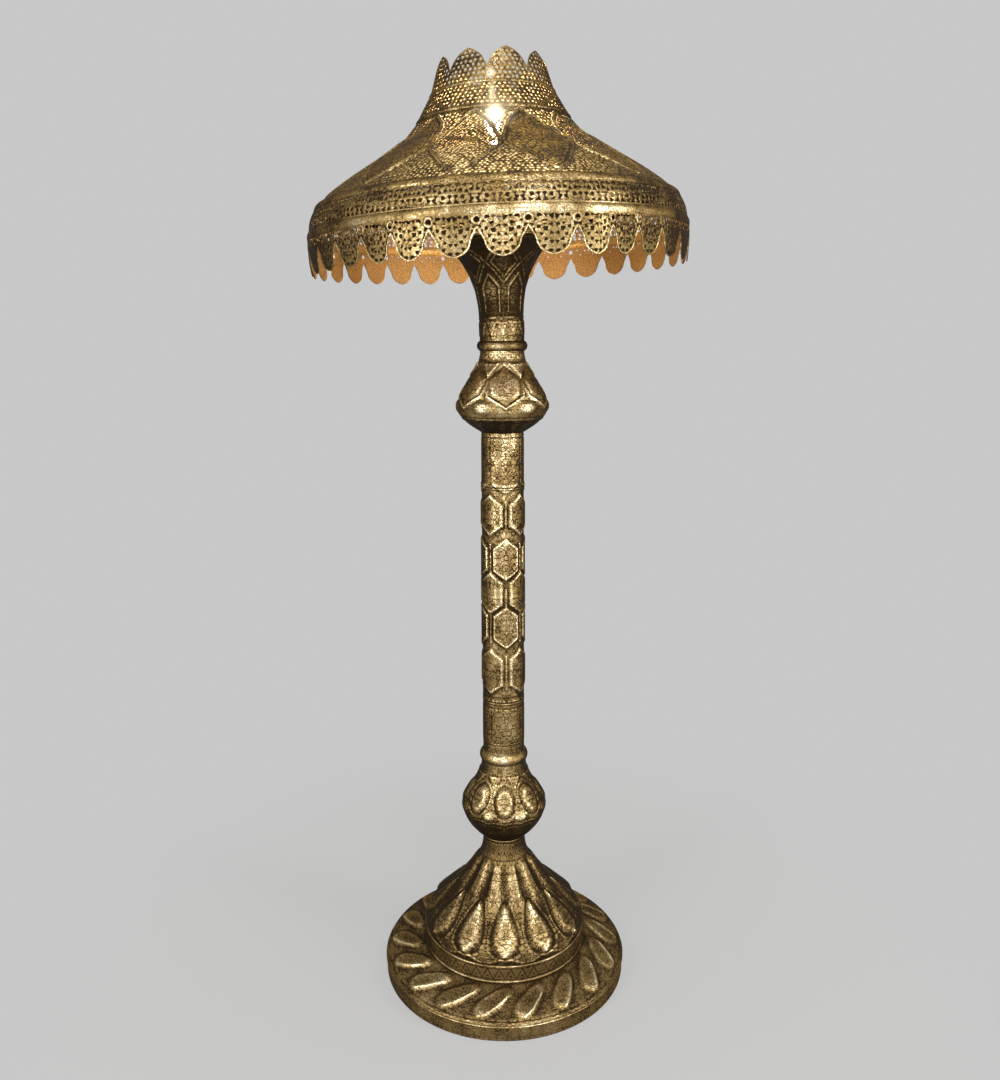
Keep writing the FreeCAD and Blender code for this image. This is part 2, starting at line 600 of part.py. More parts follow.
def buildCarrier():
    bore = sz.pipe_r + sz.fit
    flangeR = sz.hub_r + sz.hub_flange_w
    washerZ = hubZ - sz.fit - sz.washer_thick
    hexNut("carrier_nut", washerZ - sz.nut_h, True)
    washer("carrier_washer", washerZ, sz.washer_thick, sz.washer_r, bore, True)
    keep("carrier_hub", spin("carrier_hub", [
        (bore, hubZ), (flangeR, hubZ), (flangeR, armZ), (sz.hub_r, armZ),
        (sz.hub_r, hubZ + sz.hub_h), (bore, hubZ + sz.hub_h)]), True)
    count = int(sz.arm_count.value)
    for index in range(count):
        label = f"carrier_arm_{index + 1}"
        arm = bind(doc.addObject("Part::Box", label + "Bar"),
                   Length=ringOutR - sz.arm_in - sz.hub_r - sz.fit, Width=sz.arm_w, Height=sz.arm_t,
                   Placement__Base__x=sz.hub_r + sz.fit, Placement__Base__y=centred(sz.arm_w),
                   Placement__Base__z=armZ)
        keep(label, group(label, [arm]), True, 90 + 360 * index / count)
    washer("carrier_ring", seatZ, sz.seat_ring_t, ringOutR, ringInR, True)


def scallopSteps():
    # one side of the notch between two tongues, then its mirror image
    half = skirtEdgeR * math.tan(math.pi / sz.scallop_count.value)
    apex = edgeZ + sz.notch_h
    below = edgeZ - sz.notch_flank_h
    neck = (sz.notch_neck_w, edgeZ + sz.notch_neck_h)
    waist = (sz.notch_waist_w, edgeZ + sz.notch_waist_h)
    flank = (sz.notch_flank_w, edgeZ + sz.notch_flank_h)
    right = [(0, apex), neck, waist, (half, edgeZ) + flank, (half, below)]
    mirror = [(half * -1, below), (half * -1, edgeZ),
              (waist[0] * -1, waist[1], flank[0] * -1, flank[1]), (neck[0] * -1, neck[1])]
    return right + mirror


def merlonSteps():
    half = crownTopR * math.tan(math.pi / sz.merlon_count.value)
    notch = crownZ + sz.crown_notch_z
    above = crownTopZ + sz.wire_h
    cheekZ = crownZ + sz.merlon_cheek_h
    return [(0, notch, sz.merlon_cheek_w * -1, cheekZ),
            (half, crownTopZ, sz.merlon_cheek_w, cheekZ), (half, above),
            (half * -1, above), (half * -1, crownTopZ)]


def softRing(label, low, height, lowR, topR, width, out):
    # raised ring that joins two sheets of the shade
    start = (lowR, low)
    end = (topR, low + height)
    steps = [(lowR - width, low), start, bowed(start, end, out), (topR - width, low + height)]
    return keep(label, spin(label, steps), True)


def buildShade():
    skirt = spin("shade_skirt", shellSteps(
        [(skirtEdgeR, edgeZ), (sz.shade_r, beltZ, sz.skirt_bulge)], sz.shade_wall))
    doc.recompute()
    pitch = 360 / sz.scallop_count.value
    keep("shade_skirt", notchBody(skirt, "skirt", scallopSteps(), sz.scallop_count),
         True, pitch / 2 + sz.scallop_turn.value)
    shell("shade_belt", [(sz.shade_r, beltZ), (beltTopR, friezeZ, sz.belt_bulge)],
          sz.dome_wall, True)
    shell("shade_frieze", [(beltTopR, friezeZ), (friezeTopR, mouldingZ, sz.frieze_bulge)],
          sz.shade_wall, True)
    softRing("shade_moulding", mouldingZ, sz.moulding_h, friezeTopR, mouldingTopR,
             sz.moulding_w, sz.moulding_out)
    flangeZ = seatTopZ + sz.fit
    edge = mouldingTopR - sz.moulding_w
    washer("shade_flange", flangeZ, sz.flange_t, edge + sz.fit, ringInR + sz.flange_in, True)
    shell("shade_dome", [(mouldingTopR, domeZ),
                         (domeMidR, domeZ + sz.dome_mid_h, sz.dome_mid_bulge),
                         (domeHighR, domeZ + sz.dome_high_h),
                         (domeTopR, ridgeZ, sz.dome_top_bulge)], sz.dome_wall, True)
    softRing("dome_ridge", ridgeZ, sz.ridge_h, domeTopR, bandLowR, sz.ridge_w, sz.ridge_out)
    shell("crown_band", [(bandLowR, bandZ), (bandTopR, wireZ)], sz.shade_wall, True)
    softRing("crown_wire", wireZ, sz.wire_h, bandTopR, crownLowR, sz.wire_w, sz.wire_out)
    crown = spin("crown", shellSteps(
        [(crownLowR, crownZ), (crownTopR, crownTopZ)], sz.shade_wall))
    doc.recompute()
    keep("crown", notchBody(crown, "crown", merlonSteps(), sz.merlon_count),
         True, sz.merlon_turn.value)


def buildHolder():
    bottom = pipeTopZ - sz.cup_drop
    cupTop = bottom + sz.cup_h
    cone = bottom + sz.cup_cone_h
    bore = sz.pipe_r + sz.thread_fit
    boss = bottom + sz.cup_boss_h
    keep("socket_cap", spin("socket_cap", [
        (bore, bottom), (sz.cup_boss_r, bottom), (sz.cup_boss_r, boss), (sz.cup_r, cone),
        (sz.cup_r, cupTop), (sz.cup_r - sz.cup_wall, cupTop), (sz.cup_r - sz.cup_wall, cone),
        (bore, boss)]), True)
    switchZ = pipeTopZ + sz.switch_low
    switchTop = switchZ + sz.switch_h
    axisZ = pipeTopZ + sz.switch_axis
    block = cylinder("switchCore", cupInR - sz.block_gap_r, sz.switch_h, switchZ)
    shaftHoles = []
    for name in ("blockHole", "shellHole"):
        hole = cylinder(name, sz.shaft_r + sz.fit, sz.cup_r * 2, axisZ, sz.shaft_in - sz.fit)
        hole.Placement.Rotation = Rotation(Vector(0, 1, 0), 90)
        shaftHoles.append(hole)
    keep("switch_block", subtract("switch_block", block, shaftHoles[0]), True)
    tube = spin("shellTube", shellSteps([(sz.cup_r, cupTop), (sz.cup_r, cupTop + sz.shell_h)],
                                        sz.cup_wall))
    keep("socket_shell", subtract("socket_shell", tube, shaftHoles[1]), True)
    washer("socket_liner", switchTop, sz.liner_h, cupInR - sz.fit, threadOutR + sz.liner_gap, True)
    washer("screw_shell", switchTop, sz.thread_h, threadOutR, threadInR, True)
    keep("centre_contact", group("centre_contact", [
        cylinder("contactDisc", sz.contact_r, sz.contact_h, switchTop)]), True)

    knobX = sz.cup_r + sz.knob_gap
    shaft = cylinder("knobShaft", sz.shaft_r, knobX - sz.shaft_in, sz.shaft_in)
    grip = cylinder("knobGrip", sz.knob_r, sz.knob_len, knobX)
    key = bind(doc.addObject("Part::Box", "knobKey"), Length=sz.key_t, Width=sz.key_w,
               Height=sz.key_len, Placement__Base__x=centred(sz.key_t),
               Placement__Base__y=centred(sz.key_w), Placement__Base__z=knobX + sz.knob_len)
    knob = keep("switch_knob", fuse("switch_knob", [shaft, grip, key]), True)
    lying = Placement(Vector(0, 0, axisZ.value), Rotation(Vector(0, 1, 0), 90))
    knob.Placement = leaning.multiply(lying)

    tipZ = switchTop + sz.contact_h + sz.fit
    capLow = tipZ + sz.bulb_tip_h
    keep("bulb_contact", group("bulb_contact", [
        cylinder("bulbTip", sz.bulb_tip_r, sz.bulb_tip_h, tipZ)]), True)
    keep("bulb_cap", group("bulb_cap", [
        cylinder("bulbShell", sz.bulb_cap_r, sz.bulb_cap_h, capLow)]), True)
    keep("bulb_glass", spin("bulb_glass", glassSteps(capLow + sz.bulb_cap_h, tipZ)), True)


def glassSteps(low, tip):
    # half section of the pear-shaped glass: a ball on a cheek and a neck, hollow and open below
    centre = tip + sz.bulb_centre
    slant = math.sqrt(0.5)
    neck = (sz.bulb_cap_r - sz.bulb_neck_in, low)
    waist = (sz.bulb_waist_r, low + sz.bulb_waist_h)
    equator = (sz.bulb_r, centre)
    outside = [neck, bowed(neck, waist, sz.bulb_neck_bulge),
               bowed(waist, equator, sz.bulb_cheek_bulge),
               (0, centre + sz.bulb_r, sz.bulb_r * slant, centre + sz.bulb_r * slant)]
    hollow = sz.bulb_r - sz.bulb_wall
    neckIn, waistIn = [(corner[0] - sz.bulb_wall, corner[1]) for corner in (neck, waist)]
    equatorIn = (hollow, centre)
    return outside + [(0, centre + hollow),
                      equatorIn + (hollow * slant, centre + hollow * slant),
                      bowed(equatorIn, waistIn, sz.bulb_cheek_bulge),
                      bowed(waistIn, neckIn, sz.bulb_neck_bulge)]


buildFoot()
buildPan()
buildInlet()
buildBase()
buildColumn()
buildPipe()
buildLead()
buildTrumpet()
buildCarrier()
buildShade()
buildHolder()
doc.recompute()

for item in doc.Objects:
    if "Invalid" in item.State or "Error" in item.State:
        raise RuntimeError(f"{item.Name} {item.Label} failed: {item.State}")
for part in parts:
    if part.Shape.isNull() or not part.Shape.isValid():
        raise RuntimeError(f"{part.Label} has no valid shape")
for part in parts:
    part.Shape.exportStep(f"parts/{part.Label}.step")
print(len(parts), "parts written, height", round(crownTopZ.value, 1))
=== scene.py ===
import math

import bpy
import numpy as np
from mathutils import Euler, Matrix, Vector


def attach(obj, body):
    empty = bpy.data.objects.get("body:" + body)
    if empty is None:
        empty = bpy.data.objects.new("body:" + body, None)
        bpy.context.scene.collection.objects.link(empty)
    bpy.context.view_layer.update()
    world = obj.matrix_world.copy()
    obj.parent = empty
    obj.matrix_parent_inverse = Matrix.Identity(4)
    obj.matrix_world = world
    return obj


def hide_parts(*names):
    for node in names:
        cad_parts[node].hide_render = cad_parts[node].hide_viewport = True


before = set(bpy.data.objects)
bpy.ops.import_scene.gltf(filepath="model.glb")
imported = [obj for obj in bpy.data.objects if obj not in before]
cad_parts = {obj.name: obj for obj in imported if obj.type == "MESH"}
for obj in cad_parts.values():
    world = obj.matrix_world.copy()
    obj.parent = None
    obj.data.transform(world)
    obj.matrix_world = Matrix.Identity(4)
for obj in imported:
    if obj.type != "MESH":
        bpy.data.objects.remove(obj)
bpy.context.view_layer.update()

print("frame loaded")

# Sizes in the dictionaries are in millimetres and degrees. A turn is an angle round the lamp's
# axis, from the front, growing to the right. Rows run up a spun sheet, columns round it.
mm = 0.001
turnedIn = 1.5  # how far the edges of a worked sheet are turned in
lean = {"pivot": 1171, "degrees": 2.1}  # the upper half tips to the left


# ---- shapes

def smoothStep(low, high, x):
    t = np.clip((x - low) / (high - low), 0, 1)
    return t * t * (3 - 2 * t)


def bump(x, width):
    return np.exp(-(x / width) ** 2)


def rings(level, work):
    # turned lines round a piece, each with its place, half width and lift
    return sum(lift * bump(level - place, width) for place, width, lift in work["rings"])


def folded(turn, count, phase=0.0):
    # signed degrees from the nearest of count evenly spaced meridians
    pitch = 360 / count
    return (turn - phase + pitch / 2) % pitch - pitch / 2


def arcThrough(start, end, bulge, count=24):
    # points on the arc that leaves the middle of its chord by bulge, in radius
    start, end = np.array(start[:2], float), np.array(end[:2], float)
    share = np.linspace(0, 1, count + 1)[:, None]
    if not bulge:
        return start + (end - start) * share
    middle = (start + end) / 2 + (bulge, 0)
    sides = 2 * np.array([start - middle, end - middle])
    centre = np.linalg.solve(sides, [start @ start - middle @ middle, end @ end - middle @ middle])
    angles = np.unwrap([math.atan2(*(point - centre)[::-1]) for point in (start, middle, end)])
    angle = angles[0] + (angles[2] - angles[0]) * share
    return centre + np.hypot(*(start - centre)) * np.hstack([np.cos(angle), np.sin(angle)])


def turnedLine(stations, step):
    # even steps along a half section of (radius, height, bulge of the stretch before it)
    line = np.vstack([arcThrough(before, after, after[2] if len(after) > 2 else 0)
                      for before, after in zip(stations, stations[1:])])
    along = np.concatenate([[0], np.cumsum(np.hypot(*np.diff(line, axis=0).T))])
    even = np.linspace(0, along[-1], max(2, round(along[-1] / step) + 1))
    return np.interp(even, along, line[:, 0]), np.interp(even, along, line[:, 1]), even


def sheetGrid(stations, step, around):
    # turn, radius, height and length along the section, each as rows by columns
    radius, height, along = turnedLine(stations, step)
    turn = np.arange(around) * 360 / around
    return [np.broadcast_to(values, (len(radius), around)).astype(float) for values in
            (turn[None, :], radius[:, None], height[:, None], along[:, None])]


def slopeOf(radius, height):
    # outward direction of a section, as radius and height shares
    dr, dz = np.gradient(radius[:, 0]), np.gradient(height[:, 0])
    size = np.hypot(dr, dz)
    return (dz / size)[:, None], (-dr / size)[:, None]


def blurred(values, rows, columns):
    # soft average over a strip that closes on itself sideways
    for _ in range(2):
        for axis, reach in ((0, max(1, int(rows))), (1, max(1, int(columns)))):
            pad = [(reach, reach) if axis == k else (0, 0) for k in (0, 1)]
            wide = np.pad(values, pad, mode="edge" if axis == 0 else "wrap")
            sums = np.cumsum(np.insert(wide, 0, 0, axis=axis), axis=axis)
            span = 2 * reach + 1
            high = np.take(sums, range(span, sums.shape[axis]), axis=axis)
            low = np.take(sums, range(sums.shape[axis] - span), axis=axis)
            values = (high - low) / span
    return values


def rubbed(lift, radius, step, reach, gain):
    # 0 in hollows, 1 on what stands proud: the hand only polishes the high spots
    column = 2 * math.pi * float(radius.mean()) / lift.shape[1]
    cavity = lift - blurred(lift, reach / step, reach / column)
    return np.clip(0.5 + gain * cavity, 0, 1)


def spot(turn, radius, height, leans):
    # metres in the lamp's frame
    angle = np.radians(turn)
    x, y, z = radius * np.sin(angle), -radius * np.cos(angle), np.array(height, float)
    if leans:
        tip = math.radians(lean["degrees"])
        rise = z - lean["pivot"]
        x, z = (x * math.cos(tip) - rise * math.sin(tip),
                lean["pivot"] + x * math.sin(tip) + rise * math.cos(tip))
    return np.stack([x, y, z], axis=-1).reshape(-1, 3) * mm


def meshPiece(name, points, faces, body, materials, inner=0, maps=None):
    mesh = bpy.data.meshes.new(name)
    mesh.from_pydata(points.tolist(), [], faces)
    for material in materials:
        mesh.materials.append(material)
    if inner:
        slots = np.zeros(len(faces), np.int32)
        slots[-inner:] = 1
        mesh.polygons.foreach_set("material_index", slots)
    mesh.shade_smooth()
    for key, values in (maps or {}).items():
        kind = "FLOAT" if values.ndim == 1 else "FLOAT_VECTOR"
        layer = mesh.attributes.new(key, kind, "POINT")
        layer.data.foreach_set("value" if values.ndim == 1 else "vector", values.ravel())
    piece = bpy.data.objects.new(name, mesh)
    bpy.context.scene.collection.objects.link(piece)
    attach(piece, body)
    return piece


def chaseMap(turn, radius, along, repeats, phase=0.0):
    # millimetres for the engraving: mirrored about each repeat, so that it closes on itself
    across = np.abs(folded(turn, repeats, phase)) * math.pi / 180 * float(radius.mean())
    return np.stack([across, along, np.zeros_like(across)], axis=-1).reshape(-1, 3)


def chasedSheet(node, work, relief, material, leans=False):
    # a spun sheet worked from both sides, in place of the plain one
    around = int(work["around"])
    turn, radius, height, along = sheetGrid(work["stations"], work["step"], around)
    lift = relief(turn, radius, height, along)
    out, up = slopeOf(radius, height)
    rubAndPaintedLight = rubbed(lift, radius, work["step"], work["reach"], work["gain"])
    chase = chaseMap(turn, radius, along, work["repeats"], work.get("phase", 0))
    rows = [spot(turn[0], radius[0] - turnedIn, height[0], leans),
            spot(turn, radius + lift * out, height + lift * up, leans),
            spot(turn[-1], radius[-1] - turnedIn, height[-1], leans)]
    points = np.vstack(rows)
    count = len(points) // around
    index = np.arange(len(points)).reshape(count, around)
    nextOne = np.roll(index, -1, axis=1)
    faces = np.stack([index[:-1], nextOne[:-1], nextOne[1:], index[1:]], axis=-1).reshape(-1, 4)
    edged = lambda values: np.concatenate([values[:around], values, values[-around:]])
    maps = {"rubAndPaintedLight": edged(rubAndPaintedLight.ravel()), "chase": edged(chase)}
    piece = meshPiece(node + "_chased", points, faces.tolist(), "stand", [material], maps=maps)
    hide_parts(node)
    return piece


def cutFaces(field):
    # faces of the part of a closed strip where field is above zero, on grid and cut points
    rows, around = field.shape
    count = rows * around
    index = np.arange(count).reshape(rows, around)
    nextOne = np.roll(index, -1, axis=1)
    corners = [index[:-1], nextOne[:-1], nextOne[1:], index[1:]]
    cuts = [count + index[:-1], 2 * count + nextOne[:-1], count + index[1:], 2 * count + index[:-1]]
    solid = field.ravel() > 0
    code = sum(solid[corner].astype(int) << k for k, corner in enumerate(corners))
    faces = []
    for kind in range(1, 16):
        cells = code == kind
        loop = []
        for k in range(4):
            here, after = kind >> k & 1, kind >> (k + 1) % 4 & 1
            if here:
                loop.append(corners[k][cells])
            if here != after:
                loop.append(cuts[k][cells])
        faces.append(np.stack(loop, axis=1))
    return faces


def cutValues(values, field, wraps=None):
    # values at grid points, at cuts on the sideways edges and at cuts on the upward edges
    def between(axis, other, otherField):
        gap = np.where(np.abs(field - otherField) < 1e-9, 1, field - otherField)
        share = np.clip(field / gap, 0, 1)
        return values + (other - values) * share
    side = np.roll(values, -1, axis=1)
    if wraps:
        side[:, -1] += wraps
    above = np.vstack([values[1:], values[-1:]])
    fieldAbove = np.vstack([field[1:], field[-1:]])
    return np.concatenate([values.ravel(), between(1, side, np.roll(field, -1, axis=1)).ravel(),
                           between(0, above, fieldAbove).ravel()])


def openEdges(faces):
    # edges with a face on one side only, in that face's order
    pairs = np.vstack([np.stack([group[:, k], group[:, (k + 1) % group.shape[1]]], axis=1)
                       for group in faces for k in range(group.shape[1])])
    big = int(pairs.max()) + 1
    return pairs[~np.isin(pairs[:, 0] * big + pairs[:, 1], pairs[:, 1] * big + pairs[:, 0])]


def piercedSheet(node, work, metal, relief, materials):
    # a spun sheet with its piercings cut right through, in place of the plain one
    turn, radius, height, along = sheetGrid(work["stations"], work["step"], int(work["around"]))
    field = metal(turn, radius, height, along)
    lift = relief(turn, radius, height, along, field)
    out, up = slopeOf(radius, height)
    # the rub of the relief, with the sheet's painted light and shade added on top
    rubAndPaintedLight = rubbed(lift, radius, work["step"], work["reach"], work["gain"]) + work.get("paint", 0)
    chase = chaseMap(turn, radius, along, work["repeats"], work.get("phase", 0))
    faces = cutFaces(field)
    used, packed = np.unique(np.concatenate([group.ravel() for group in faces]), return_inverse=True)
    starts = np.cumsum([0] + [group.size for group in faces])
    faces = [packed[low:high].reshape(group.shape)
             for low, high, group in zip(starts, starts[1:], faces)]
    pick = lambda values, wraps=None: cutValues(values, field, wraps)[used]
    t, r, z = pick(turn, 360), pick(radius), pick(height)
    outAt, upAt = [pick(np.broadcast_to(values, field.shape)) for values in (out, up)]
    liftAt, wall = pick(lift), work["wall"]
    outer = spot(t, r + liftAt * outAt, z + liftAt * upAt, True)
    inner = spot(t, r - wall * outAt, z - wall * upAt, True)
    edges = openEdges(faces)
    rimUsed, rim = np.unique(edges, return_inverse=True)
    rim = rim.reshape(edges.shape)
    count, rimCount = len(used), len(rimUsed)
    low, high = 2 * count, 2 * count + rimCount
    rimFaces = np.stack([low + rim[:, 0], high + rim[:, 0], high + rim[:, 1], low + rim[:, 1]], axis=1)
    points = np.vstack([outer, inner, outer[rimUsed], inner[rimUsed]])
    outerFaces = [face for group in faces for face in group.tolist()]
    innerFaces = [face for group in faces for face in (group[:, ::-1] + count).tolist()]
    spread = lambda values: np.concatenate([values, values, values[rimUsed], values[rimUsed]])
    chaseAt = np.stack([pick(part.reshape(field.shape)) for part in chase.T], axis=1)
    maps = {"rubAndPaintedLight": spread(pick(rubAndPaintedLight)), "chase": spread(chaseAt).ravel().reshape(-1, 3)}
    piece = meshPiece(node + "_pierced", points, outerFaces + rimFaces.tolist() + innerFaces, "shade",
                      materials, inner=len(innerFaces), maps=maps)
    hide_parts(node)
    return piece


def toDistance(field, radius, step):
    # turns any field that crosses zero at an outline into millimetres from that outline
    column = 2 * math.pi * radius / field.shape[1]
    upward, _ = np.gradient(field)
    sideways = (np.roll(field, -1, axis=1) - np.roll(field, 1, axis=1)) / 2
    return field / np.maximum(np.hypot(upward / step, sideways / column), 0.2)


def evenSeeds(count, width, height, seed, rounds=4):
    # seeds spread over a panel, each moved a few times to the middle of what lies nearest to it
    dice = np.random.RandomState(seed)
    seeds = dice.rand(count, 2) * (width, height)
    samples = dice.rand(4000, 2) * (width, height)
    for _ in range(rounds):
        nearest = ((samples[:, None] - seeds[None]) ** 2).sum(2).argmin(1)
        seeds = np.array([samples[nearest == k].mean(0) if (nearest == k).any() else seeds[k]
                          for k in range(count)])
    return seeds


def evened(turn, drift):
    # undoes the spacing by eye: drift holds places and how far the work strays there, in degrees
    places, strays = np.array(drift, float).T
    return turn - np.interp(turn, places + strays, strays, period=360)


def leafHoles(across, along, seeds, width, hole, seed):
    # millimetres outside the nearest of many three-sided holes, mirrored at the panel's sides
    dice = np.random.RandomState(seed)
    shapes = dice.rand(len(seeds), 3)
    field = np.full(across.shape, 30.0)
    for mirrored in (across, -across, 2 * width - across):
        for place, (spin, size, bend) in zip(seeds, shapes):
            dx, dy = mirrored - place[0], along - place[1]
            cosine, sine = math.cos(spin * 2 * math.pi), math.sin(spin * 2 * math.pi)
            u = dx * cosine + dy * sine
            v = dy * cosine - dx * sine + (bend - 0.5) * 0.3 * u ** 2
            sides = [v, -v / 2 + u * 0.866, -v / 2 - u * 0.866]
            reach = sum(np.maximum(side, 0) ** 4 for side in sides) ** 0.25
            field = np.minimum(field, reach - hole * (0.7 + 0.55 * size))
    return field


def punch(field, turn, radius, along, places, hole):
    # round holes stamped into a field: places are rows of turn, length along and size
    around = field.shape[1]
    pitch = 360 / around
    for where, level, size in places:
        row = int(np.abs(along[:, 0] - level).argmin())
        reach = size * hole + 2
        rowStep = along[1, 0] - along[0, 0]
        rows = slice(max(0, int(row - reach / rowStep - 1)), int(row + reach / rowStep + 2))
        metres = math.radians(1) * radius[row, 0]
        columns = np.arange(int((where - reach / metres) / pitch) - 1,
                            int((where + reach / metres) / pitch) + 2)
        dx = (columns * pitch - where)[None, :] * math.radians(1) * radius[rows, :1]
        dy = along[rows, :1] - level
        columns = columns % around
        edge = np.hypot(dx, dy) - size * hole
        field[rows, columns] = np.minimum(field[rows, columns], edge)


def dotRows(radius, along, spacing, jitter, low, high, seed):
    # brickwork of dots round a sheet, shaken by jitter
    dice = np.random.RandomState(seed)
    places = []
    for number, level in enumerate(np.arange(low, high, spacing * 0.87)):  # rows half a spacing apart
        ring = float(np.interp(level, along[:, 0], radius[:, 0]))
        count = int(2 * math.pi * ring / spacing)
        for k in range(count):
            shake = (dice.rand(3) - 0.5) * jitter
            where = (k + number % 2 / 2 + shake[0]) * 360 / count
            places.append((where, level + shake[1] * spacing, 1 + shake[2]))
    return places


# ---- finishes

def addNode(tree, kind, values=None, **settings):
    node = tree.nodes.new(kind)
    for key, value in settings.items():
        setattr(node, key, value)
    for key, value in (values or {}).items():
        if isinstance(value, bpy.types.NodeSocket):
            tree.links.new(value, node.inputs[key])
        else:
            node.inputs[key].default_value = value
    return node


def maths(tree, operation, first, second=None, third=None, clamp=False):
    values = {k: value for k, value in enumerate((first, second, third)) if value is not None}
    return addNode(tree, "ShaderNodeMath", values, operation=operation, use_clamp=clamp).outputs[0]


def vectors(tree, operation, first, second=None, third=None, output=0):
    values = {k: value for k, value in enumerate((first, second, third)) if value is not None}
    return addNode(tree, "ShaderNodeVectorMath", values, operation=operation).outputs[output]


def scaled(tree, vector, factor):
    return addNode(tree, "ShaderNodeVectorMath", {0: vector, "Scale": factor}, operation="SCALE").outputs[0]


def ramped(tree, value, low, high, start=0.0, end=1.0):
    values = {"Value": value, "From Min": low, "From Max": high, "To Min": start, "To Max": end}
    node = addNode(tree, "ShaderNodeMapRange", values, interpolation_type="SMOOTHSTEP")
    return node.outputs["Result"]


def mixed(tree, share, first, second):
    node = addNode(tree, "ShaderNodeMix", data_type="RGBA")
    for socket, value in ((node.inputs[0], share), (node.inputs[6], first), (node.inputs[7], second)):
        if isinstance(value, bpy.types.NodeSocket):
            tree.links.new(value, socket)
        else:
            socket.default_value = value
    return node.outputs[2]


def newGroup(name, inputs, outputs):
    group = bpy.data.node_groups.new(name, "ShaderNodeTree")
    for socket, kind, default in inputs:
        made = group.interface.new_socket(socket, in_out="INPUT", socket_type=kind)
        if default is not None:
            made.default_value = default
    for socket, kind in outputs:
        group.interface.new_socket(socket, in_out="OUTPUT", socket_type=kind)
    return group, group.nodes.new("NodeGroupInput").outputs, group.nodes.new("NodeGroupOutput").inputs


def useGroup(tree, group, values):
    return addNode(tree, "ShaderNodeGroup", values, node_tree=group).outputs


def scrollGroup():
    # engraved scrolls: rings that wind round scattered centres, broken by a wandering noise
    group, given, result = newGroup("Scrollwork", [
        ("Vector", "NodeSocketVector", None), ("Size", "NodeSocketFloat", 9.0),
        ("Turns", "NodeSocketFloat", 1.2), ("Thickness", "NodeSocketFloat", 0.4)],
        [("Line", "NodeSocketFloat"), ("Leaf", "NodeSocketFloat")])
    place = scaled(group, given["Vector"], maths(group, "DIVIDE", 1.0, given["Size"]))
    drift = addNode(group, "ShaderNodeTexNoise", {"Vector": place, "Scale": 1.7, "Detail": 1.0})
    away = vectors(group, "SUBTRACT", drift.outputs["Color"], (0.5, 0.5, 0.5))
    bent = vectors(group, "MULTIPLY_ADD", away, (0.7, 0.7, 0.7), place)
    cells = addNode(group, "ShaderNodeTexVoronoi", {"Vector": bent, "Scale": 1.0})
    edges = addNode(group, "ShaderNodeTexVoronoi", {"Vector": bent, "Scale": 1.0},
                    feature="DISTANCE_TO_EDGE")
    angle = maths(group, "MULTIPLY", maths(group, "MULTIPLY", cells.outputs["Distance"],
                                           given["Turns"]), 2 * math.pi)
    ring = maths(group, "ABSOLUTE", maths(group, "SINE", angle))
    lines = ramped(group, ring, 0.0, given["Thickness"], 1.0, 0.0)
    border = ramped(group, edges.outputs["Distance"], 0.02, 0.09, 1.0, 0.0)
    group.links.new(maths(group, "MAXIMUM", lines, border), result["Line"])
    group.links.new(ramped(group, cells.outputs["Distance"], 0.15, 0.75, 1.0, 0.0), result["Leaf"])
    return group


def punchGroup():
    # small round punch marks
    group, given, result = newGroup("Punchwork", [
        ("Vector", "NodeSocketVector", None), ("Size", "NodeSocketFloat", 2.0),
        ("Share", "NodeSocketFloat", 0.35)], [("Dots", "NodeSocketFloat")])
    place = scaled(group, given["Vector"], maths(group, "DIVIDE", 1.0, given["Size"]))
    cells = addNode(group, "ShaderNodeTexVoronoi", {"Vector": place, "Scale": 1.0,
                                                    "Randomness": 0.8})
    rim = maths(group, "ADD", given["Share"], 0.12)
    group.links.new(ramped(group, cells.outputs["Distance"], given["Share"], rim, 1.0, 0.0),
                    result["Dots"])
    return group


def tarnishGroup():
    # clouds of tarnish over finer blotches
    group, given, result = newGroup("Tarnish", [
        ("Vector", "NodeSocketVector", None), ("Size", "NodeSocketFloat", 40.0)],
        [("Cloud", "NodeSocketFloat"), ("Fleck", "NodeSocketFloat")])
    place = scaled(group, given["Vector"], maths(group, "DIVIDE", 1.0, given["Size"]))
    broad = addNode(group, "ShaderNodeTexNoise", {"Vector": place, "Scale": 1.0, "Detail": 4.0,
                                                  "Roughness": 0.6})
    fine = addNode(group, "ShaderNodeTexNoise", {"Vector": place, "Scale": 14.0, "Detail": 3.0,
                                                 "Roughness": 0.65})
    group.links.new(ramped(group, broad.outputs["Fac"], 0.3, 0.7), result["Cloud"])
    group.links.new(ramped(group, fine.outputs["Fac"], 0.35, 0.65), result["Fleck"])
    return group


def patinaGroup():
    # brown in the hollows, brass on the flats, pale gold where hands and cloths rub; painted light and shade
    # in the tone take the same colours
    group, given, result = newGroup("Patina", [
        ("Tone", "NodeSocketFloat", 0.5), ("Hollow", "NodeSocketColor", None),
        ("Metal", "NodeSocketColor", None), ("Rubbed", "NodeSocketColor", None)],
        [("Color", "NodeSocketColor"), ("Roughness", "NodeSocketFloat"),
         ("Metallic", "NodeSocketFloat")])
    flat = mixed(group, ramped(group, given["Tone"], 0.05, 0.5), given["Hollow"], given["Metal"])
    group.links.new(mixed(group, ramped(group, given["Tone"], 0.5, 0.95), flat, given["Rubbed"]),
                    result["Color"])
    group.links.new(ramped(group, given["Tone"], 0.1, 0.9, 0.6, 0.25), result["Roughness"])
    group.links.new(ramped(group, given["Tone"], 0.0, 0.4, 0.55, 1.0), result["Metallic"])
    return group


def inwardGroup():
    # 1 on the faces of a spun sheet that look at the lamp's axis
    group, given, result = newGroup("Inward", [("Vector", "NodeSocketVector", None),
                                               ("Normal", "NodeSocketVector", None)],
                                    [("Mask", "NodeSocketFloat")])
    outward = vectors(group, "NORMALIZE", vectors(group, "MULTIPLY", given["Vector"], (1.0, 1.0, 0.0)))
    facing = vectors(group, "DOT_PRODUCT", outward, given["Normal"], output="Value")
    group.links.new(ramped(group, facing, -0.45, -0.15, 1.0, 0.0), result["Mask"])
    return group
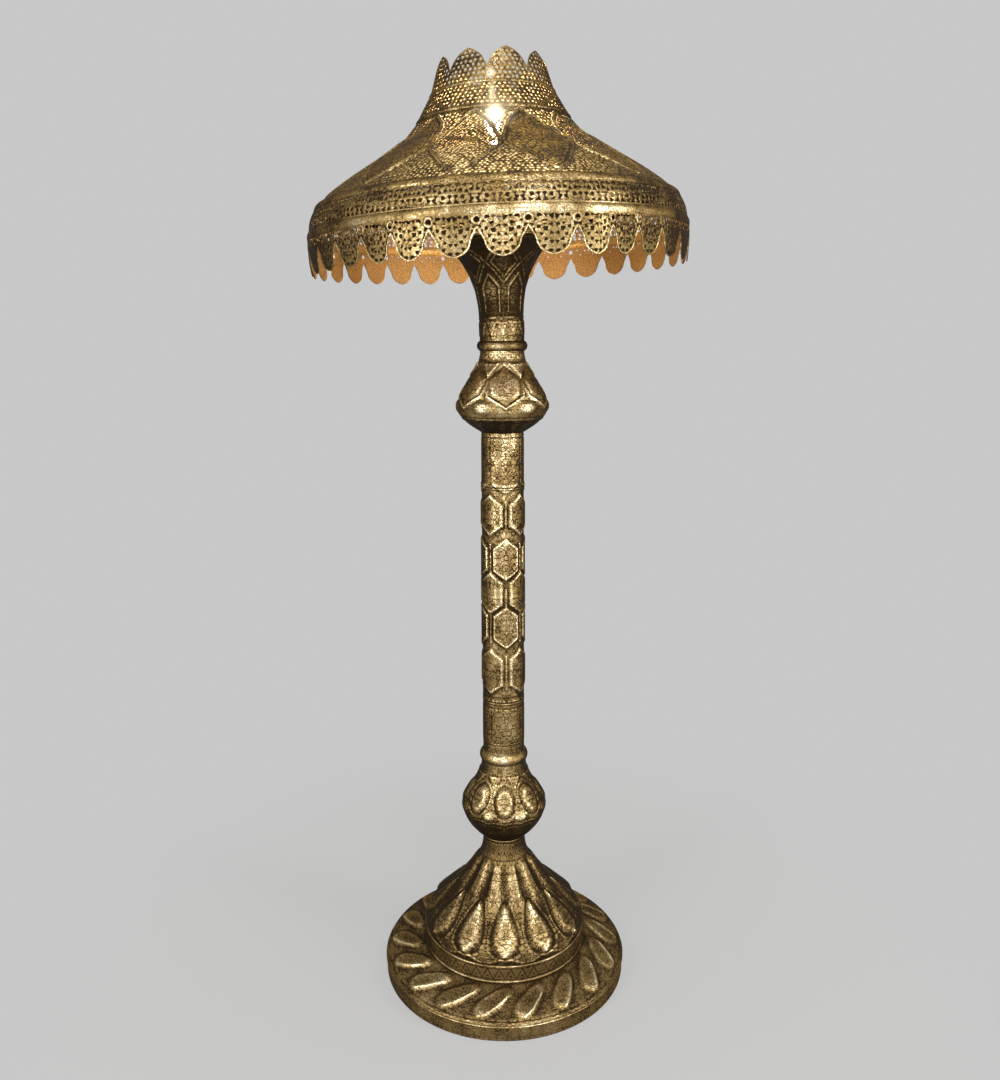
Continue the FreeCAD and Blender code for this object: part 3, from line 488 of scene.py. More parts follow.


# painted glare: middle, reach on each axis and strength of each part of the glow painted on the metal in front
# of the bulb
paintedGlareParts = {"core": ((-9.5, -134, 1495), (11, 30, 12), 1.0),
              "halo": ((-10, -134, 1495), (24, 60, 26), 0.16),
              "streak": ((-14, -110, 1531), (5, 60, 16), 0.22),
              "spark": ((-16, -92, 1559), (6, 40, 7), 0.4)}


def paintedGlareGroup():
    # painted glare: the glow painted on the metal in front of the bulb, standing for the bulb's glare
    group, given, result = newGroup("Glare", [("Vector", "NodeSocketVector", None)],
                                    [("Mask", "NodeSocketFloat")])
    total = None
    for centre, spread, weight in paintedGlareParts.values():
        away = vectors(group, "SUBTRACT", given["Vector"], centre)
        reach = vectors(group, "LENGTH", vectors(group, "DIVIDE", away, spread), output="Value")
        lobe = maths(group, "MULTIPLY", ramped(group, reach, 0.0, 1.6, 1.0, 0.0), weight)
        total = lobe if total is None else maths(group, "ADD", total, lobe, clamp=True)
    group.links.new(total, result["Mask"])
    return group


groups = {"scroll": scrollGroup(), "punch": punchGroup(), "tarnish": tarnishGroup(),
          "patina": patinaGroup(), "inward": inwardGroup(), "paintedGlare": paintedGlareGroup()}

brassTones = {"Hollow": (0.020, 0.012, 0.005, 1), "Metal": (0.23, 0.155, 0.062, 1),
              "Rubbed": (0.78, 0.65, 0.40, 1)}
glowTones = {"paintedGlare": (1.0, 0.86, 0.6, 1), "cold": (1.0, 0.80, 0.52, 1), "warm": (1.0, 0.86, 0.62, 1),
             "outline": (0.016, 0.011, 0.005, 1)}


def newMaterial(name):
    # the material, its nodes, its shader and the place on the object in millimetres
    material = bpy.data.materials.new(name)
    material.use_nodes = True
    tree = material.node_tree
    object3d = addNode(tree, "ShaderNodeTexCoord").outputs["Object"]
    return material, tree, tree.nodes["Principled BSDF"], scaled(tree, object3d, 1 / mm)


def dented(tree, shader, height, strength, distance):
    dent = addNode(tree, "ShaderNodeBump", {"Height": height, "Strength": strength, "Distance": distance})
    tree.links.new(dent.outputs[0], shader.inputs["Normal"])


def brassMaterial(name, tone=0.0, useSheetMaps=True, scroll=0.3, scrollSize=9.0, punched=0.2, punchSize=2.2,
                  cloud=0.3, fleck=0.1, relief=0.35, away=0.75, paintedGlare=0.0, inside=None):
    # antique brass: rub and painted light from the sheet's own maps, then engraving, punch marks and tarnish,
    # a painted reflection that darkens it away from the eye and, where asked, a painted glare
    material, tree, shader, place = newMaterial(name)
    shader.inputs["Specular Tint"].default_value = (0.3, 0.22, 0.11, 1)
    chase = addNode(tree, "ShaderNodeAttribute", attribute_name="chase").outputs["Vector"]
    rubAndPaintedLight = addNode(tree, "ShaderNodeAttribute", attribute_name="rubAndPaintedLight").outputs["Fac"]
    lines = useGroup(tree, groups["scroll"], {"Vector": chase if useSheetMaps else place,
                                              "Size": scrollSize})
    dots = useGroup(tree, groups["punch"], {"Vector": place, "Size": punchSize})
    stain = useGroup(tree, groups["tarnish"], {"Vector": place})
    value = maths(tree, "ADD", rubAndPaintedLight if useSheetMaps else 0.0, tone)
    for mask, weight in ((lines["Line"], -scroll), (dots["Dots"], -punched)):
        value = maths(tree, "MULTIPLY_ADD", mask, weight, value)
    for mask, weight in ((stain["Cloud"], cloud), (stain["Fleck"], fleck)):
        value = maths(tree, "MULTIPLY_ADD", maths(tree, "SUBTRACT", mask, 0.5), weight, value)
    # painted reflection: the brass is darkened where it turns away from the eye, standing for the dark room it
    # would mirror
    turnedAway = addNode(tree, "ShaderNodeLayerWeight", {"Blend": 0.5}).outputs["Facing"]
    value = maths(tree, "MULTIPLY_ADD", turnedAway, -away, value)
    # painted glare: where asked, the metal glows in front of the bulb
    if paintedGlare:
        lit = useGroup(tree, groups["paintedGlare"], {"Vector": place})["Mask"]
        tree.links.new(mixed(tree, lit, (0, 0, 0, 1), glowTones["paintedGlare"]), shader.inputs["Emission Color"])
        shader.inputs["Emission Strength"].default_value = paintedGlare
    skin = useGroup(tree, groups["patina"], {"Tone": value, **brassTones})
    color = skin["Color"]
    if inside:
        normal = addNode(tree, "ShaderNodeTexCoord").outputs["Normal"]
        inward = useGroup(tree, groups["inward"], {"Vector": place, "Normal": normal})["Mask"]
        color = mixed(tree, inward, color, inside)
    tree.links.new(color, shader.inputs["Base Color"])
    tree.links.new(skin["Roughness"], shader.inputs["Roughness"])
    tree.links.new(skin["Metallic"], shader.inputs["Metallic"])
    deep = maths(tree, "MULTIPLY_ADD", dots["Dots"], -0.6, maths(tree, "MULTIPLY", lines["Line"], -1.0))
    dented(tree, shader, maths(tree, "MULTIPLY_ADD", stain["Fleck"], 0.15, deep), relief, 0.0006)
    return material


def plainMaterial(name, color, roughness, metallic=0.0, grain=0.25, size=3.0, relief=0.2):
    # any other finish: a colour broken by grain, with the same grain in its roughness and surface
    material, tree, shader, place = newMaterial(name)
    stain = useGroup(tree, groups["tarnish"], {"Vector": place, "Size": size * 10})
    dark = tuple(part * (1 - grain) for part in color) + (1,)
    pale = tuple(min(1, part * (1 + grain)) for part in color) + (1,)
    share = maths(tree, "MULTIPLY", maths(tree, "ADD", stain["Cloud"], stain["Fleck"]), 0.5)
    tree.links.new(mixed(tree, share, dark, pale), shader.inputs["Base Color"])
    tree.links.new(ramped(tree, stain["Fleck"], 0, 1, roughness - 0.08, min(1, roughness + 0.08)),
                   shader.inputs["Roughness"])
    shader.inputs["Metallic"].default_value = metallic
    dented(tree, shader, stain["Fleck"], relief, 0.0004)
    return material


def bulbMaterial(name, glow):
    # frosted glass, lit from within
    material, tree, shader, place = newMaterial(name)
    frost = useGroup(tree, groups["tarnish"], {"Vector": place, "Size": 20.0})
    tint = mixed(tree, frost["Fleck"], glowTones["cold"], glowTones["warm"])
    tree.links.new(tint, shader.inputs["Base Color"])
    # to the eye it falls off towards its outline, so that the glare stays small
    seen = addNode(tree, "ShaderNodeLightPath").outputs["Is Camera Ray"]
    turnedAway = addNode(tree, "ShaderNodeLayerWeight", {"Blend": 0.5}).outputs["Facing"]
    dim = maths(tree, "MULTIPLY", seen, ramped(tree, turnedAway, 0.0, 0.14))
    tree.links.new(mixed(tree, dim, tint, glowTones["outline"]), shader.inputs["Emission Color"])
    shader.inputs["Emission Strength"].default_value = glow
    shader.inputs["Roughness"].default_value = 0.5
    return material


# painted shade: near black for inner faces left in shade; copper is the raw colour of the inner faces of the
# skirt and belt
paintedShadeBlack, copper = (0.012, 0.007, 0.003, 1), (0.60, 0.33, 0.10, 1)
# tone goes from hollow brown up to rubbed gold, scroll and punched are the strength of the marks, away is the
# strength of the painted reflection and paintedGlare that of the painted glare
brassLooks = {
    "pan": {"tone": 0.08, "scroll": 0.3, "punched": 0.18, "punchSize": 3.0, "away": 0.3},
    "bell": {"tone": 0.02, "scroll": 0.4, "punched": 0.14, "punchSize": 3.4},
    "column": {"tone": 0.17, "scroll": 0.42, "punched": 0.12, "punchSize": 3.2},
    "knop": {"tone": 0.14, "scroll": 0.4, "punched": 0.14, "punchSize": 3.2},
    "shoulder": {"tone": 0.34, "scroll": 0.32, "punched": 0.14, "punchSize": 3.2},
    "bowl": {"tone": -0.04, "scroll": 0.4, "scrollSize": 8.0, "punched": 0.12, "punchSize": 3.0},
    # painted shade: the trumpet's tone is set low for the shadow that the shade throws on it
    "trumpet": {"tone": -0.16, "scroll": 0.35, "punched": 0.12, "punchSize": 3.2},
    "collar": {"tone": 0.03, "scroll": 0.12, "punched": 0.1, "punchSize": 3.0, "away": 0.5},
    "skirt": {"tone": 0.13, "scroll": 0.28, "scrollSize": 8.0, "punched": 0.06},
    "dome": {"tone": 0.0, "scroll": 0.34, "scrollSize": 8.0, "punched": 0.14, "punchSize": 3.0,
             "away": 0.35, "paintedGlare": 3.0},
    "crown": {"tone": 0.06, "scroll": 0.2, "scrollSize": 7.0, "punched": 0.12, "punchSize": 3.0,
              "away": 0.5, "paintedGlare": 3.0},
}
finishes = {name + "Brass": brassMaterial(name + "Brass", **look) for name, look in brassLooks.items()}
finishes["plainBrass"] = brassMaterial("plainBrass", tone=0.7, useSheetMaps=False, scroll=0.05,
                                       punched=0.15, punchSize=4.5, cloud=0.45, fleck=0.2)
finishes["beltBrass"] = brassMaterial("beltBrass", tone=0.78, useSheetMaps=False, scroll=0.08, punched=0.1,
                                      punchSize=4.0, cloud=0.5, fleck=0.25, away=0.85, inside=copper)
# the wires' inner faces are painted shade, near black
finishes["wireBrass"] = brassMaterial("wireBrass", tone=0.62, useSheetMaps=False, scroll=0.1, punched=0.2,
                                      punchSize=4.0, cloud=0.4, fleck=0.3, away=0.45, paintedGlare=3.0,
                                      inside=paintedShadeBlack)


def insideMaterial(name, low, high, ramp, roughness, metallic):
    # the sheet's inner face, with one colour low down and another above; the skirt's turns a little darker
    # higher up, the dome's goes from painted shade to painted light by the bulb
    material, tree, shader, place = newMaterial(name)
    stain = useGroup(tree, groups["tarnish"], {"Vector": place, "Size": 25.0})
    dots = useGroup(tree, groups["punch"], {"Vector": place, "Size": 3.0})
    height = addNode(tree, "ShaderNodeSeparateXYZ", {0: place}).outputs["Z"]
    color = mixed(tree, ramped(tree, height, *ramp), low, high)
    mottled = mixed(tree, maths(tree, "MULTIPLY", stain["Fleck"], 0.45), color, (0.10, 0.05, 0.015, 1))
    tree.links.new(mixed(tree, maths(tree, "MULTIPLY", dots["Dots"], 0.4), mottled, (0.07, 0.03, 0.01, 1)),
                   shader.inputs["Base Color"])
    shader.inputs["Roughness"].default_value = roughness
    shader.inputs["Metallic"].default_value = metallic
    dented(tree, shader, dots["Dots"], 0.5, 0.0005)
    return material


finishes["copperInside"] = insideMaterial("copperInside", copper, (0.50, 0.26, 0.07, 1), (1290, 1330),
                                          0.5, 0.4)
# painted light and shade: the inner face of the dome and crown is near black low down and painted bright and
# warm near the bulb
finishes["paintedLitInside"] = insideMaterial("paintedLitInside", paintedShadeBlack, (0.86, 0.62, 0.32, 1), (1438, 1462), 0.7, 0.0)
# colour, roughness, metallic, grain, size and relief of the grain
plainLooks = {
    "fittingBrass": ((0.55, 0.42, 0.20), 0.35, 1.0, 0.2),
    "steel": ((0.5, 0.5, 0.5), 0.35, 1.0, 0.15),
    "coverPaint": ((0.02, 0.02, 0.02), 0.6, 0.0, 0.4),
    "iron": ((0.07, 0.07, 0.07), 0.7, 0.6, 0.4, 2.0, 0.6),
    "felt": ((0.03, 0.10, 0.06), 0.95, 0.0, 0.5, 0.4, 0.9),
    "rubber": ((0.02, 0.02, 0.02), 0.6, 0.0, 0.3),
    "whitePlastic": ((0.8, 0.8, 0.76), 0.45, 0.0, 0.05),
    "darkPlastic": ((0.03, 0.022, 0.015), 0.35, 0.0, 0.3),
    "linerCard": ((0.42, 0.33, 0.22), 0.9, 0.0, 0.3, 0.6, 0.5),
    "bulbMetal": ((0.7, 0.7, 0.7), 0.3, 1.0, 0.1),
}
for name, look in plainLooks.items():
    finishes[name] = plainMaterial(name, *look)
finishes["bulbGlass"] = bulbMaterial("bulbGlass", 55.0)
print("finishes made")


# ---- foot

pan = {"stations": [(225, 1), (225, 30), (221.5, 34.5, 0.8), (154, 55.5, 0.4), (140, 56.4)],
       "step": 1.1, "around": 1296, "reach": 7, "gain": 0.2, "repeats": 36, "phase": 3.5,
       "lobes": 18, "lobeTurn": -6.5, "lobeRadius": 187, "halfLength": 41, "halfWidth": 17.5,
       "swirl": 48, "lobeLift": 5.0}


def panRelief(turn, radius, height, along):
    offset = np.radians(folded(turn, pan["lobes"], pan["lobeTurn"])) * radius
    lift = np.zeros_like(turn)
    swirl = math.radians(pan["swirl"])
    reach = math.radians(360 / pan["lobes"])
    for neighbour in (-1, 0, 1):
        across = offset + neighbour * reach * radius
        outward = radius - pan["lobeRadius"]
        along2 = outward * math.cos(swirl) - across * math.sin(swirl)
        side = outward * math.sin(swirl) + across * math.cos(swirl)
        pear = 1 + 0.16 * along2 / pan["halfLength"]
        edge = (np.abs(along2 / pan["halfLength"]) ** 2.6
                + np.abs(side / (pan["halfWidth"] * pear)) ** 2.6) ** (1 / 2.6) - 1
        inLobe = 1 - smoothStep(-0.3, 0.08, edge)
        lobe = pan["lobeLift"] * inLobe * (0.84 + 0.16 * side / pan["halfWidth"])
        lobe += 0.9 * inLobe * bump(side - 0.66 * pan["halfWidth"] * pear, 2.6)
        lift = np.maximum(lift, lobe)
    lift *= smoothStep(151, 158, radius) * (1 - smoothStep(214, 219, radius))
    flat = smoothStep(33, 37, height)
    wave = 0.25 * np.sin(np.radians(turn) * 7) * np.sin(height / 9)  # a wall beaten by hand
    return lift * flat - 0.8 * bump(height - 35.5, 1.1) * (radius > 219) + wave * (1 - flat)


chasedSheet("base_pan", pan, panRelief, finishes["panBrass"])

collar = {"stations": [(149.5, 55.5), (149.5, 89.5)], "step": 0.9, "around": 1080, "reach": 3,
          "gain": 0.9, "repeats": 45, "teeth": 45, "toothLow": 6, "toothHigh": 27,
          "rings": [(6, 1.0, -0.4), (27, 1.0, -0.4)]}


def collarRelief(turn, radius, height, along):
    # a row of engraved triangles, with a dot in each
    tooth = np.abs(folded(turn, collar["teeth"])) * 2 * collar["teeth"] / 360
    level = (along - collar["toothLow"]) / (collar["toothHigh"] - collar["toothLow"])
    inside = (level > 0) & (level < 1)
    zigzag = -0.6 * bump((level - tooth) * 9, 0.8) * inside
    dot = -0.5 * bump(np.hypot((1 - tooth) * 10, (level - 0.3) * 20), 1.6)
    return zigzag + dot + rings(along, collar) + 0.25 * np.sin(np.radians(turn) * 5)


chasedSheet("base_collar", collar, collarRelief, finishes["collarBrass"])

bell = {"stations": [(148.5, 89.5), (134, 121, 4.5), (94.6, 160), (44.7, 228, -5.4), (38.6, 268, -1.7)],
        "step": 1.0, "around": 1008, "reach": 9, "gain": 0.24, "repeats": 24, "phase": 1.0,
        "medallions": 12, "phaseTurn": 0.2, "leafLow": 101, "leafHigh": 173, "leafWidth": 11.5,
        "petalLow": 150, "petalHigh": 234, "petalWidth": 14.0, "hemHeight": 104,
        "rings": [(232, 1.5, 0.7), (266, 1.3, 0.7), (262, 1.2, -0.6)]}


def bellRelief(turn, radius, height, along):
    # pointed medallions under a ring of long petals, with a punched hem below
    side = folded(turn, bell["medallions"], bell["phaseTurn"])
    level = (height - bell["leafLow"]) / (bell["leafHigh"] - bell["leafLow"])
    span = np.clip(level, 0, 1)
    wide = bell["leafWidth"] * np.sin(math.pi * span ** 0.72) ** 0.62
    edge = toDistance(np.where((level > 0) & (level < 1), np.abs(side) - wide,
                               np.abs(side) + np.maximum(-level, level - 1) * 30),
                      float(radius.mean()), bell["step"])
    leaf = 4.0 * (1 - smoothStep(-11, 1.5, edge)) - 0.5 * bump(edge, 1.6) + 0.9 * bump(edge - 3.4, 2.2)
    petalSide = folded(turn, bell["medallions"], bell["phaseTurn"] + 180 / bell["medallions"])
    rise = (height - bell["petalLow"]) / (bell["petalHigh"] - bell["petalLow"])
    inPetal = smoothStep(0, 0.35, rise) * (1 - smoothStep(0.7, 1.0, rise))
    petal = 4.4 * inPetal * (1 - smoothStep(0.25, 1.0, np.abs(petalSide) / bell["petalWidth"]))
    hem = 1.6 * bump((np.abs(side) + height - bell["hemHeight"]) * 0.9, 4) * (height < 112) * (height > 92)
    return leaf * (height < bell["leafHigh"] + 3) + petal + hem + rings(height, bell)


chasedSheet("base_bell", bell, bellRelief, finishes["bellBrass"])
print("foot done")


# ---- knops, column and rings

lowerBowl = {"stations": [(39.3, 268), (77.5, 323, 6.5)], "step": 0.9, "around": 480, "reach": 3,
             "gain": 0.7, "repeats": 16, "flutes": 16, "fluteRise": (280, 300),
             "rings": [(318, 1.2, -0.7), (300, 1.0, -0.7), (271, 1.5, 0.5)]}
lowerDome = {"stations": [(77.5, 323), (70.5, 347, 2), (48.5, 384), (40.5, 414, -1.6)], "step": 0.9,
             "around": 480, "reach": 6, "gain": 0.24, "repeats": 16, "ovals": 8, "phaseTurn": 1.0,
             "rings": [(325, 1.0, -0.8), (400, 1.2, 0.6), (404, 1.0, -0.5)]}


def bowlRelief(work):
    # turned lines over shallow flutes
    def relief(turn, radius, height, along):
        flutes = np.cos(np.radians(turn) * work["flutes"]) * smoothStep(*work["fluteRise"], height)
        return rings(height, work) + 0.5 * flutes
    return relief


def lowerDomeRelief(turn, radius, height, along):
    # raised ovals between spandrels, bright lobes at the seam and small triangles at the top
    metres = np.radians(1) * radius
    side = folded(turn, lowerDome["ovals"], lowerDome["phaseTurn"])
    oval = (np.hypot(side * metres / 19, (height - 357) / 25) - 1) * 19
    raised = 3.6 * (1 - smoothStep(-9, 1, oval)) - 0.5 * bump(oval, 1.5) + 0.9 * bump(oval - 3.2, 1.8)
    between = folded(turn, lowerDome["ovals"], lowerDome["phaseTurn"] + 22.5)
    lobe = (np.hypot(between * metres / 15, (height - 335) / 11) - 1) * 11
    raised += 2.2 * (1 - smoothStep(-7, 1, lobe)) * (1 - smoothStep(3, -1, oval))
    tip = np.abs(between) * metres / 11 - (height - 374) / 18
    raised += 1.8 * (1 - smoothStep(-0.35, 0.15, tip)) * (height < 397) * (1 - smoothStep(3, -1, oval))
    return raised + rings(height, lowerDome)


chasedSheet("lower_knop_bowl", lowerBowl, bowlRelief(lowerBowl), finishes["bowlBrass"])
chasedSheet("lower_knop_dome", lowerDome, lowerDomeRelief, finishes["knopBrass"])

column = {"stations": [(37.5, 440), (36.2, 1017)], "step": 0.9, "around": 324, "reach": 5,
          "gain": 0.5, "repeats": 8, "phase": 8.0,
          "frontTurn": 8.0, "halfWidth": 39.5,
          "frontRows": [(759, 839), (635.5, 718)], "sideRows": [(837, 915), (698, 779), (550, 639)],
          "shoulder": 19, "bandLow": (456, 533), "bandHigh": (925, 1017),
          "lines": (436, 456, 533, 538, 921, 925, 1010)}


def columnRelief(turn, radius, height, along):
    # pointed hexagons in rows that stand half a pitch apart, between two engraved bands
    lift = np.zeros_like(turn)
    rows = [(row, column["frontTurn"]) for row in column["frontRows"]] + \
        [(row, column["frontTurn"] + 45) for row in column["sideRows"]]
    metres = np.radians(1) * radius
    for (low, high), phase in rows:
        side = np.abs(folded(turn, 4, phase))
        slant = column["shoulder"] / column["halfWidth"]
        flank = (side - column["halfWidth"]) * metres
        top = (height - (high - side * slant)) * 0.8
        bottom = ((low + side * slant) - height) * 0.8
        edge = np.maximum(np.maximum(flank, top), bottom)
        plate = 2.0 * (1 - smoothStep(-4.5, 0.5, edge)) + 0.4 * bump(edge + 4.8, 1.2)
        rib = (side - 45) * metres
        inRow = (height > low + 12) & (height < high - 12)
        lift = np.maximum(np.maximum(lift, plate), 0.9 * bump(rib, 1.5) * inRow)
    half = np.abs(folded(turn, 4, column["frontTurn"]))
    chevron = np.maximum(np.maximum(915 + half * 0.42 - height, height - 929), 0)
    lift = np.maximum(lift, 1.3 * bump(chevron, 1.5) * (height > 905) * (height < 934))
    for level in column["lines"]:
        lift += 0.5 * bump(height - level - 1.5, 1.1) - 0.5 * bump(height - level + 1.2, 1.0)
    for low, high in (column["bandLow"], column["bandHigh"]):
        inBand = smoothStep(low + 3, low + 6, height) * (1 - smoothStep(high - 10, high - 7, height))
        square = np.abs(folded(turn, 4, column["frontTurn"] + 45)) * metres
        lift += inBand * (0.5 - 0.6 * bump(square, 1.2))
    return lift


chasedSheet("column_tube", column, columnRelief, finishes["columnBrass"])

upperBowl = {"stations": [(36.95, 1017), (69.5, 1041, 1.5)], "step": 0.8, "around": 480, "reach": 3,
             "gain": 0.7, "repeats": 16, "flutes": 18, "fluteRise": (1018, 1028), "rings": [(1036, 1.0, -0.6)]}
upperDome = {"stations": [(69.5, 1041), (73, 1075, 5.4), (47.9, 1119, 1.5), (37.2, 1150, -2)],
             "step": 0.8, "around": 480, "reach": 6, "gain": 0.24, "repeats": 12, "pentagons": 6,
             "phaseTurn": 4.0, "rings": [(1043.5, 1.1, -0.8), (1136, 1.0, -0.4), (1147, 1.0, -0.4)]}


def upperDomeRelief(turn, radius, height, along):
    # pentagons that hang on a point, triangles between their tops and lobes along the seam
    metres = np.radians(1) * radius
    side = np.abs(folded(turn, upperDome["pentagons"], upperDome["phaseTurn"])) * metres
    top = (height - 1128 + side * 0.75) * 0.75
    bottom = (1066 + side * 0.62 - height) * 0.85
    edge = np.maximum(np.maximum(top, bottom), side - 27)
    plate = 1.5 * (1 - smoothStep(-8, 0.5, edge)) - 0.6 * bump(edge - 0.5, 1.5) \
        + 2.2 * bump(edge - 4.2, 2.6) * (1 - smoothStep(1085, 1100, height) * 0.7)
    between = np.abs(folded(turn, upperDome["pentagons"], upperDome["phaseTurn"] + 30)) * metres
    triangle = np.maximum(between - 0.62 * (height - 1108), height - 1134)
    plate += 2.2 * (1 - smoothStep(-3.5, 0.5, triangle))
    lobe = (np.hypot(between / 22, (height - 1061) / 13) - 1) * 13
    plate += 2.6 * (1 - smoothStep(-9, 0.5, lobe)) * smoothStep(2, 5, edge)
    zigzag = np.abs(folded(turn, 24)) / 7.5
    plate -= 0.6 * bump(((height - 1138) / 7 - zigzag) * 4, 0.9) * (height > 1136) * (height < 1147)
    return plate + rings(height, upperDome)


chasedSheet("upper_knop_bowl", upperBowl, bowlRelief(upperBowl), finishes["bowlBrass"])
chasedSheet("upper_knop_dome", upperDome, upperDomeRelief, finishes["shoulderBrass"])

neck = {"stations": [(37.2, 1171), (37.2, 1208)], "step": 0.8, "around": 288, "reach": 3, "gain": 0.35,
        "repeats": 8, "facets": 12, "rings": [(1206, 1.2, 0.5), (1172.5, 1.0, 0.5), (1203, 1.0, -0.4)]}
trumpet = {"stations": [(37.2, 1208), (40, 1240, -0.9), (54.4, 1285, -2.2), (93, 1331, -4.2)],
           "step": 0.9, "around": 432, "reach": 4, "gain": 0.5, "repeats": 12, "panels": 6,
           "phaseTurn": 8.0, "latticeHeight": 1292, "rings": [(1214, 1.2, 0.5), (1326, 1.5, 0.5)]}


def neckRelief(turn, radius, height, along):
    side = np.abs(folded(turn, neck["facets"], 3.0)) / (180 / neck["facets"])
    level = (height - 1175) / 26
    inside = smoothStep(0.0, 0.1, level) * (1 - smoothStep(0.9, 1.0, level))
    facet = 0.9 * inside * (1 - smoothStep(-0.12, 0.12, side - level))
    return facet + rings(height, neck)


def trumpetRelief(turn, radius, height, along):
    # paired upright ribs that open into a lattice of pointed arches
    metres = np.radians(1) * radius
    side = np.abs(folded(turn, trumpet["panels"], trumpet["phaseTurn"]))
    fade = 1 - smoothStep(1252, 1262, height)
    ribs = bump((side - 11) * metres, 1.3) * fade * smoothStep(1212, 1218, height)
    opening = 11 + (height - 1254) * 0.95
    arms = bump((side - np.clip(opening, 11, 30)) * metres * 0.65, 1.5) * smoothStep(1250, 1256, height) \
        * (1 - smoothStep(1274, 1277, height))
    away = np.abs(height - trumpet["latticeHeight"])
    lozenge = np.abs(side / 22 + away / 24 - 1) * 12
    outer = np.abs(side / 30 + away / 33 - 1) * 16
    lines = (bump(lozenge, 1.5) + bump(outer, 1.5)) * smoothStep(1258, 1264, height)
    return 1.1 * np.clip(ribs + arms + lines, 0, 1) + rings(height, trumpet)


chasedSheet("neck_band", neck, neckRelief, finishes["knopBrass"], leans=True)
chasedSheet("trumpet", trumpet, trumpetRelief, finishes["trumpetBrass"], leans=True)
print("column done")


# ---- shade

skirt = {"stations": [(303, 1280), (306.8, 1335.5, 1.7)], "step": 1.05, "around": 1728, "wall": 1.2,
         "reach": 3, "gain": 0.45, "repeats": 32, "phase": 0.7, "scallops": 32, "scallopTurn": 0.7,
         "ring": 303,
         "notch": [(0, 37), (6.8, 24), (8.2, 20.5)], "flank": (14.6, 6.8), "hole": 2.0, "seeds": 24,
         "eyeHeight": 48.0, "eyeHole": 3.6, "eyeRing": 6.4, "pitTop": 41, "backTighter": 1.2,
         "drift": [(1, 0.2), (12, 2.2), (23, 3.3), (34.5, 0.5), (46, -1.2), (57, -1.5), (75, 0),
                   (140, -1), (155, 0.7), (168, 1.9), (190, 3), (225, 3), (245, 1.5), (300, 0),
                   (325, 0), (338, -2.1), (349.5, -1)]}


def tongueEdge(work, turn, along):
    # millimetres inside the outline of the scallops
    half = math.pi * work["ring"] / work["scallops"]
    middle = np.array(work["flank"], float)
    ends = np.array([work["notch"][-1], (half, 0)], float)
    share = np.linspace(0, 1, 20)[:, None]
    control = 2 * middle - ends.mean(0)
    curve = (1 - share) ** 2 * ends[0] + 2 * share * (1 - share) * control + share ** 2 * ends[1]
    outline = np.vstack([np.array(work["notch"][:2], float), curve])
    across = np.abs(folded(turn, work["scallops"], work["scallopTurn"] + 180 / work["scallops"]))
    across = np.radians(across) * work["ring"]
    gap = np.interp(along, outline[::-1, 1], outline[::-1, 0], right=-40)
    field = np.where(along > work["notch"][0][1], (along - work["notch"][0][1]) * 0.8 + across * 0.5,
                     across - gap)
    return toDistance(np.clip(field, -40, 40), work["ring"], work["step"])


def skirtMetal(turn, radius, height, along):
    width = math.pi * skirt["ring"] / skirt["scallops"]
    seeds = evenSeeds(skirt["seeds"], width, along.max(), 4)
    even = evened(turn, skirt["drift"])
    across = np.radians(np.abs(folded(even, skirt["scallops"], skirt["scallopTurn"]))) * skirt["ring"]
    holes = leafHoles(across, along, seeds, width, skirt["hole"], 5)
    edge = tongueEdge(skirt, even, along)
    eye = np.hypot(width - across, along - skirt["eyeHeight"])
    holes = np.maximum(holes, np.maximum(3.2 - edge, skirt["eyeRing"] + 0.6 - eye))
    holes = np.maximum(holes, along - along.max() + 2.5)
    skirt["edge"], skirt["eye"] = edge, eye
    # the scallops are only punched, from the eyes up the sheet is cut through
    skirt["pits"] = (1 - smoothStep(-0.7, 0.3, holes)) * (along < skirt["pitTop"])
    # painted shade: the punched pits are painted near black, as dark as open holes into the shaded inside
    skirt["paint"] = -2.4 * skirt["pits"]
    behind = smoothStep(88, 104, np.abs(folded(turn, 1)))  # the holes are smaller at the back
    holes = np.where(along < skirt["pitTop"], 3.0, holes + skirt["backTighter"] * behind)
    return np.minimum(np.minimum(holes, edge), eye - skirt["eyeHole"])


def skirtRelief(turn, radius, height, along, field):
    border = 0.8 * bump(skirt["edge"] - 1.1, 1.1) - 0.4 * bump(skirt["edge"] - 3.0, 0.8)
    ring = 0.7 * bump(skirt["eye"] - skirt["eyeRing"] + 1.4, 1.4)
    lip = -0.35 * (1 - smoothStep(0, 1.1, field)) * (skirt["edge"] > 3)
    return border + ring + lip - 0.6 * skirt["pits"] + 0.3 * bump(along - along.max() + 1, 1)


piercedSheet("shade_skirt", skirt, skirtMetal, skirtRelief,
             [finishes["skirtBrass"], finishes["copperInside"]])

frieze = {"stations": [(303.8, 1347), (293.5, 1378, 2.5)], "step": 1.05, "around": 1728, "wall": 1.2,
          "reach": 3, "gain": 0.45, "repeats": 32, "ring": 299, "hole": 2.2, "seeds": 14}


def friezeMetal(turn, radius, height, along):
    width = math.pi * frieze["ring"] / frieze["repeats"]
    seeds = evenSeeds(frieze["seeds"], width, along.max(), 9)
    across = np.radians(np.abs(folded(turn, frieze["repeats"]))) * frieze["ring"]
    tile = int(frieze["around"] / frieze["repeats"])
    leaves = leafHoles(across[:, :tile], along[:, :tile], seeds, width, frieze["hole"], 10)
    return np.maximum(np.tile(leaves, (1, frieze["repeats"])),
                      np.maximum(2.2 - along, along - along.max() + 2.2))


def friezeRelief(turn, radius, height, along, field):
    lip = -0.35 * (1 - smoothStep(0, 1.1, field))
    return lip + 0.4 * (bump(along - 1, 1) + bump(along - along.max() + 1, 1))


piercedSheet("shade_frieze", frieze, friezeMetal, friezeRelief,
             [finishes["skirtBrass"], finishes["copperInside"]])

